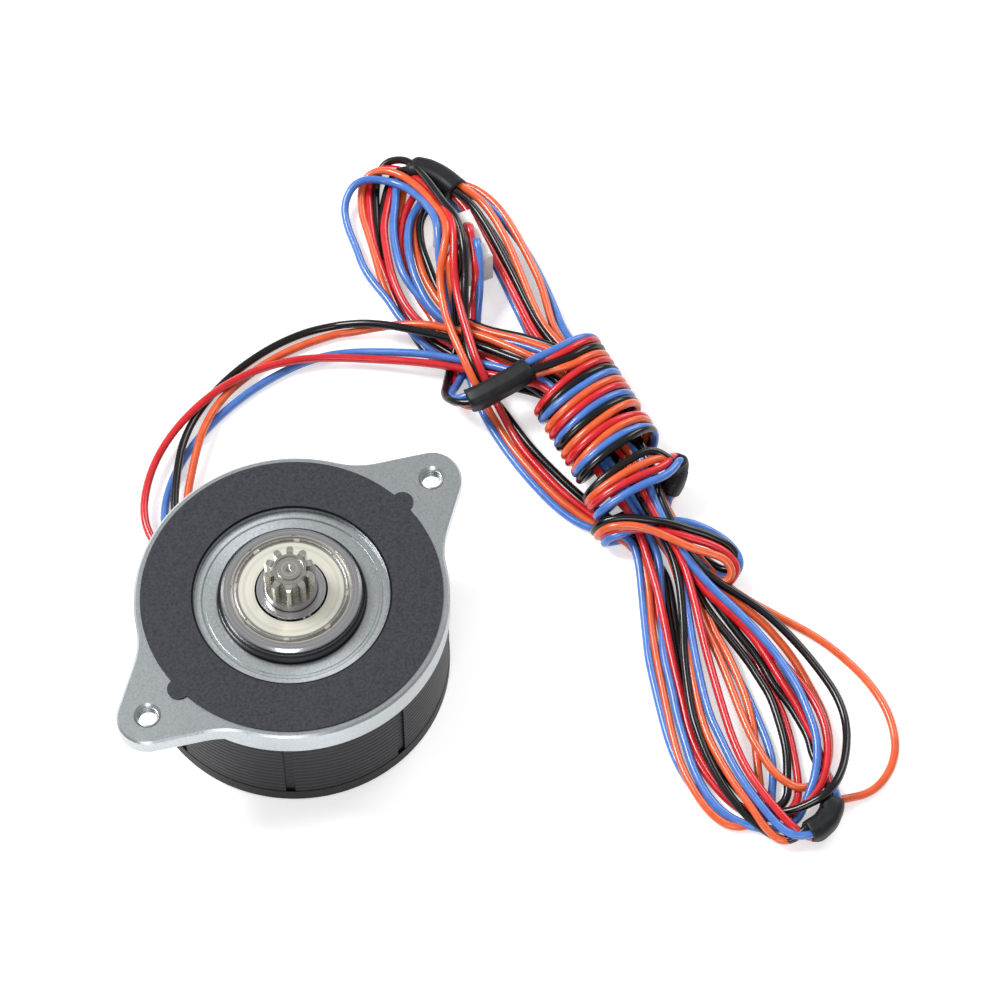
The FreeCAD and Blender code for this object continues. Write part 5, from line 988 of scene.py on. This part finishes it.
@dataclass
class LeadSet:
    """The four leads as tubes along their NURBS routes."""

    diameter: float = 1.0
    steps: int = 6
    roundness: int = 3
    made: dict[Lead, bpy.types.Object] = field(default_factory=dict)
    lines: dict[Lead, list[Vector]] = field(default_factory=dict)

    def build(self) -> None:
        """Makes the four leads."""
        for way in WAYS:
            curve = bpy.data.curves.new(way.lead.value + "_insulation", "CURVE")
            curve.dimensions = "3D"
            curve.resolution_u = self.steps
            route = way.route()
            spline = curve.splines.new("NURBS")
            spline.points.add(len(route) - 1)
            for point, spot in zip(spline.points, route):
                point.co = (spot[0] * MM, spot[1] * MM, spot[2] * MM, 1.0)
            spline.order_u = 3
            spline.use_endpoint_u = True
            lead = put(way.lead.value + "_insulation", curve)
            self.made[way.lead] = lead
            self.lines[way.lead] = self.line_of(lead)
            curve.bevel_depth = self.diameter / 2.0 * MM
            curve.bevel_resolution = self.roundness
            curve.materials.append(way.colour.build())
            LOG.info("%s is %.4f m long", lead.name, self.length(way.lead))

    @staticmethod
    def line_of(lead: bpy.types.Object) -> list[Vector]:
        """Reads a lead's line before it is given its thickness.

        Args:
            lead: The lead.

        Returns:
            The points of its line, in metres.
        """
        graph = bpy.context.evaluated_depsgraph_get()
        line = bpy.data.meshes.new_from_object(lead.evaluated_get(graph))
        spots = [vertex.co.copy() for vertex in line.vertices]
        bpy.data.meshes.remove(line)
        return spots

    def length(self, lead: Lead) -> float:
        """Returns the length of a lead's line in metres."""
        spots = self.lines[lead]
        return sum((b - a).length for a, b in zip(spots, spots[1:]))

    def declare(self, sleeves: Sequence[bpy.types.Object]) -> None:
        """Hangs the leads on the stator body and hides the nodes that they stand for.

        Args:
            sleeves: The sleeves that hold the leads together. Not used.
        """
        for way in WAYS:
            lead = self.made[way.lead]
            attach(lead, "stator_body")
            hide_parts(way.lead.value, "lead_hank")
            self.length(way.lead)


@dataclass
class SleeveSet:
    """The black shrink sleeves that hold the four leads together, in millimetres."""

    leads: LeadSet
    wall: float = 0.3
    gap: float = 0.01
    sides: int = 28
    stations: int = 22

    def build(self) -> list[bpy.types.Object]:
        """Makes the four sleeves along the leads inside them."""
        return [self.sleeve(name, bundle) for name, bundle in SLEEVES.items()]

    @staticmethod
    def nearest(line: Sequence[Vector], spot: Vector) -> Vector:
        """Finds where a line comes nearest to a spot.

        Args:
            line: The line's points.
            spot: The spot.

        Returns:
            The nearest point on the line.
        """
        best, gap = line[0], math.inf
        for start, end in zip(line, line[1:]):
            along = end - start
            share = max(0.0, min(1.0, (spot - start).dot(along) / max(along.length_squared, 1e-18)))
            place = start + along * share
            if (place - spot).length < gap:
                best, gap = place, (place - spot).length
        return best

    def section(self, axis: Sequence[Vector], station: int) -> tuple[list[Vector], list[Vector]]:
        """Draws the tube round its leads at one station.

        Args:
            axis: The run's axis, in metres.
            station: The station's number.

        Returns:
            The ring outside the wall and the ring inside it.
        """
        place = station / (self.stations - 1) * (len(axis) - 1)
        number = min(int(place), len(axis) - 2)
        spot = axis[number].lerp(axis[number + 1], place - number)
        held = [self.nearest(line, spot) for line in self.leads.lines.values()]
        centre = sum(held, Vector()) / len(held)
        ahead = (axis[number + 1] - axis[number]).normalized()
        aside = ahead.cross(UP).normalized()
        upright = aside.cross(ahead).normalized()
        outer, inner = [], []
        for side in range(self.sides):
            turn = 2.0 * math.pi * side / self.sides
            course = aside * math.cos(turn) + upright * math.sin(turn)
            reach = max((lead - centre).dot(course) for lead in held)
            reach += self.leads.diameter / 2.0 * MM
            outer.append(centre + course * (reach + self.wall * MM))
            inner.append(centre + course * (reach + self.gap * MM))
        return outer, inner

    def sleeve(self, name: str, bundle: Bundle) -> bpy.types.Object:
        """Makes one sleeve as a thin tube that clings to its leads.

        Args:
            name: The node that the sleeve stands for.
            bundle: The run of leads inside it.

        Returns:
            The sleeve.
        """
        axis = [Vector(point) * MM for point in bundle.axis]
        sections = [self.section(axis, station) for station in range(self.stations)]
        rings = [outer for outer, _ in sections] + [inner for _, inner in sections[::-1]]
        faces = []
        for ring in range(len(rings)):
            here, there = ring * self.sides, (ring + 1) % len(rings) * self.sides
            for side in range(self.sides):
                beside = (side + 1) % self.sides
                faces.append((here + side, here + beside, there + beside, there + side))
        mesh = bpy.data.meshes.new(name + "_rubber")
        mesh.from_pydata([corner for ring in rings for corner in ring], [], faces)
        mesh.update()
        shell = bmesh.new()
        shell.from_mesh(mesh)
        bmesh.ops.recalc_face_normals(shell, faces=shell.faces)
        shell.to_mesh(mesh)
        shell.free()
        mesh.polygons.foreach_set("use_smooth", [True] * len(mesh.polygons))
        mesh.materials.append(STUDIO_FINISHES["black_rubber"].build())
        sleeve = put(name + "_rubber", mesh)
        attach(sleeve, "stator_body")
        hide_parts(name)
        LOG.info("%s follows its leads", name)
        return sleeve


@dataclass
class Recipe(Graph):
    """A geometry-node group whose named numbers shape one baked piece."""

    tree: bpy.types.NodeTree = field(init=False)
    name: str
    numbers: dict[str, float]
    known: bpy.types.Node = field(init=False)

    def __post_init__(self) -> None:
        """Makes the group with one named input for each number."""
        self.tree = bpy.data.node_groups.new(self.name, "GeometryNodeTree")
        sockets = self.tree.interface
        for label, number in self.numbers.items():
            socket = sockets.new_socket(name=label, in_out="INPUT", socket_type="NodeSocketFloat")
            socket.default_value = number
        sockets.new_socket(name="Geometry", in_out="OUTPUT", socket_type="NodeSocketGeometry")
        self.known = self.node("NodeGroupInput")

    def bake(self, copies: Socket, finish: Finish, body: str) -> bpy.types.Object:
        """Ends the group, bakes it to a plain mesh and lets it ride a body.

        Args:
            copies: The geometry with its instances.
            finish: The finish of the piece.
            body: The body that carries it.

        Returns:
            The baked piece.
        """
        real = self.node("GeometryNodeRealizeInstances", {"Geometry": copies})
        dressed = self.node("GeometryNodeSetMaterial", {"Geometry": real.outputs["Geometry"]},
                            {"Material": finish.build()})
        self.node("NodeGroupOutput", {"Geometry": dressed.outputs["Geometry"]})
        piece = put(self.name, bpy.data.meshes.new(self.name + "_start"))
        growth = piece.modifiers.new(self.name, "NODES")
        growth.node_group = self.tree
        for item in self.tree.interface.items_tree:
            if item.in_out == "INPUT":
                growth[item.identifier] = self.numbers[item.name]
        graph = bpy.context.evaluated_depsgraph_get()
        mesh = bpy.data.meshes.new_from_object(piece.evaluated_get(graph))
        piece.modifiers.clear()
        piece.data = mesh
        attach(piece, body)
        LOG.info("%s baked with %d faces", self.name, len(mesh.polygons))
        return piece


@dataclass
class EarThreads:
    """The screw threads cut in the two ears, in millimetres."""

    core_radius: float = 1.25
    ridge: float = 0.11
    ridge_shown: float = 0.2
    pitch: float = 0.5
    length: float = 1.7
    base: float = 15.05
    ear: float = 21.92

    def build(self) -> bpy.types.Object:
        """Winds a ridge down each hole.

        Returns:
            The threads, as one piece.
        """
        recipe = Recipe("ear_threads", {
            "Thread radius": (self.core_radius - self.ridge * self.ridge_shown) * MM,
            "Ridge": self.ridge * MM,
            "Turns": self.length / self.pitch,
            "Length": self.length * MM,
            "Base": self.base * MM,
            "Ear": self.ear * MM,
        })
        known = recipe.known.outputs
        ridge = recipe.node("GeometryNodeCurveSpiral", {
            "Rotations": known["Turns"], "Start Radius": known["Thread radius"],
            "End Radius": known["Thread radius"], "Height": known["Length"]}, {"Resolution": 36})
        profile = recipe.node("GeometryNodeCurvePrimitiveCircle", {"Radius": known["Ridge"]},
                              {"Resolution": 6})
        wound = recipe.node("GeometryNodeCurveToMesh", {
            "Curve": ridge.outputs["Curve"], "Profile Curve": profile.outputs["Curve"]}, {"Fill Caps": True})
        spots = recipe.node("GeometryNodePoints", fixed={"Count": 2})
        number = recipe.node("GeometryNodeInputIndex")
        side = recipe.node("ShaderNodeMath", {0: number.outputs["Index"]}, {1: 2.0, 2: -1.0},
                           operation="MULTIPLY_ADD")
        place = recipe.node("ShaderNodeCombineXYZ", {
            "X": recipe.maths("MULTIPLY", side.outputs[0], known["Ear"]), "Z": known["Base"]})
        laid = recipe.node("GeometryNodeSetPosition", {
            "Geometry": spots.outputs["Points"], "Position": place.outputs["Vector"]})
        copies = recipe.node("GeometryNodeInstanceOnPoints", {
            "Points": laid.outputs["Geometry"], "Instance": wound.outputs["Mesh"]})
        return recipe.bake(copies.outputs["Instances"], STUDIO_FINISHES["flange_aluminium"], "stator_body")


@dataclass
class ShieldCrimps:
    """The pressed tabs that hold the front bearing's shield, in millimetres."""

    count: int = 8
    radius: float = 6.35
    thickness: float = 0.13
    share: float = 0.86
    sunk: float = 0.03

    def build(self) -> bpy.types.Object:
        """Sets the tabs in a ring on the shield's rim.

        Returns:
            The tabs, as one piece.
        """
        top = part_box("front_bearing_outer_shield")[1][2]
        step = 2.0 * math.pi / self.count
        recipe = Recipe("shield_crimps", {
            "Ring radius": self.radius * MM,
            "Tab thickness": self.thickness * MM,
            "Step": step,
            "Sweep": step * self.share,
            "Height": top - self.sunk * MM,
        })
        known = recipe.known.outputs
        arc = recipe.node("GeometryNodeCurveArc", {
            "Radius": known["Ring radius"], "Sweep Angle": known["Sweep"]}, {"Resolution": 14})
        profile = recipe.node("GeometryNodeCurvePrimitiveCircle", {"Radius": known["Tab thickness"]},
                              {"Resolution": 8})
        tab = recipe.node("GeometryNodeCurveToMesh", {
            "Curve": arc.outputs["Curve"], "Profile Curve": profile.outputs["Curve"]}, {"Fill Caps": True})
        spots = recipe.node("GeometryNodePoints", fixed={"Count": self.count})
        number = recipe.node("GeometryNodeInputIndex")
        height = recipe.node("ShaderNodeCombineXYZ", {"Z": known["Height"]})
        turn = recipe.node("ShaderNodeCombineXYZ", {
            "Z": recipe.maths("MULTIPLY", number.outputs["Index"], known["Step"])})
        laid = recipe.node("GeometryNodeSetPosition", {
            "Geometry": spots.outputs["Points"], "Position": height.outputs["Vector"]})
        copies = recipe.node("GeometryNodeInstanceOnPoints", {
            "Points": laid.outputs["Geometry"], "Instance": tab.outputs["Mesh"],
            "Rotation": turn.outputs["Vector"]})
        return recipe.bake(copies.outputs["Instances"], STUDIO_FINISHES["cage_steel"], "stator_body")


@dataclass(frozen=True)
class Lamp:
    """A square soft lamp, in metres and watts."""

    name: str
    spot: Point
    size: float
    power: float

    def hang(self, aim: Point) -> None:
        """Hangs the lamp.

        Args:
            aim: The point that it shines at.
        """
        data = bpy.data.lights.new(self.name, "AREA")
        data.energy = self.power
        data.size = self.size
        lamp = put(self.name, data)
        lamp.location = self.spot
        lamp.rotation_euler = (Vector(aim) - Vector(self.spot)).to_track_quat("-Z", "Y").to_euler()


@dataclass(frozen=True)
class Studio:
    """The floor, the lamps and the camera.

    The camera's place and sensor are in millimetres, its focal length and picture in pixels, and
    the floor's reach in metres.
    """

    distance: float = 449.65
    focal: float = 3956.8
    picture: float = 1000.0
    sensor: float = 36.0
    elevation: float = 60.922
    azimuth: float = -44.029
    shift_right: float = 23.665
    shift_up: float = 10.759
    aim_height: float = 17.0
    floor_reach: float = 3.0
    floor_grey: float = 0.85
    floor_glow: float = 0.45
    air_light: float = 0.45
    lamp_aim: Point = (0.02, 0.0, 0.01)
    lamps: tuple[Lamp, ...] = (
        Lamp("key_lamp", (-0.25, 0.55, 0.75), 0.32, 8.0),
        Lamp("fill_lamp", (-0.6, -0.5, 0.6), 0.4, 2.4),
        Lamp("side_lamp", (0.7, 0.1, 0.5), 0.4, 2.4),
    )

    def camera(self) -> None:
        """Sets the camera at the photograph's place."""
        turn, tilt = math.radians(self.azimuth), math.radians(self.elevation)
        ahead = Vector((-math.sin(turn) * math.cos(tilt), math.cos(turn) * math.cos(tilt), -math.sin(tilt)))
        right = Vector((math.cos(turn), math.sin(turn), 0.0))
        up = right.cross(ahead)
        spot = -ahead * self.distance + right * self.shift_right + up * self.shift_up
        spot += UP * self.aim_height
        data = bpy.data.cameras.new("studio_camera")
        data.sensor_width = self.sensor
        data.lens = self.focal / self.picture * self.sensor
        data.clip_start = 0.01
        data.clip_end = 20.0
        camera = put("studio_camera", data)
        basis = Matrix((right, up, -ahead)).transposed().to_4x4()
        camera.matrix_world = Matrix.Translation(spot * MM) @ basis
        bpy.context.scene.camera = camera

    def floor(self) -> None:
        """Lays the pale floor, which glows for the camera and in reflections."""
        mesh = bpy.data.meshes.new("studio_floor")
        reach = self.floor_reach
        mesh.from_pydata([(-reach, -reach, 0), (reach, -reach, 0), (reach, reach, 0), (-reach, reach, 0)],
                         [], [(0, 1, 2, 3)])
        material = bpy.data.materials.new("pale floor")
        material.use_nodes = True
        graph = Graph(material.node_tree)
        rays = graph.node("ShaderNodeLightPath").outputs
        seen = graph.maths("MAXIMUM", rays["Is Camera Ray"], rays["Is Glossy Ray"])
        graph.feed(
            material.node_tree.nodes["Principled BSDF"],
            {"Emission Strength": graph.maths("MULTIPLY", seen, self.floor_glow)},
            {"Roughness": 0.8, "Base Color": (*[self.floor_grey] * 3, 1.0), "Specular IOR Level": 0.1,
             "Emission Color": (1.0, 1.0, 1.0, 1.0)},
        )
        mesh.materials.append(material)
        put("studio_floor", mesh)

    def light(self) -> None:
        """Hangs the lamps and fills the air with soft light, white where it is seen."""
        world = bpy.data.worlds.new("studio_air")
        world.use_nodes = True
        bpy.context.scene.world = world
        graph = Graph(world.node_tree)
        rays = graph.node("ShaderNodeLightPath").outputs
        seen = graph.maths("MAXIMUM", rays["Is Camera Ray"], rays["Is Transmission Ray"])
        level = graph.node("ShaderNodeMapRange", {"Value": seen}, {"To Min": self.air_light, "To Max": 1.0})
        graph.feed(world.node_tree.nodes["Background"], {"Strength": level.outputs["Result"]},
                   {"Color": (1.0, 1.0, 1.0, 1.0)})
        for lamp in self.lamps:
            lamp.hang(self.lamp_aim)

    def set_up(self) -> None:
        """Builds the whole studio."""
        bpy.context.scene.view_settings.view_transform = "Standard"
        self.camera()
        self.floor()
        self.light()


def main() -> None:
    """Builds the studio, dresses the nodes and lays the leads."""
    logging.basicConfig(level=logging.INFO, format="%(name)s: %(message)s")
    Studio().set_up()
    Wardrobe().dress()
    EarThreads().build()
    ShieldCrimps().build()
    leads = LeadSet()
    leads.build()
    leads.declare(SleeveSet(leads).build())


if __name__ == "__main__":
    main()
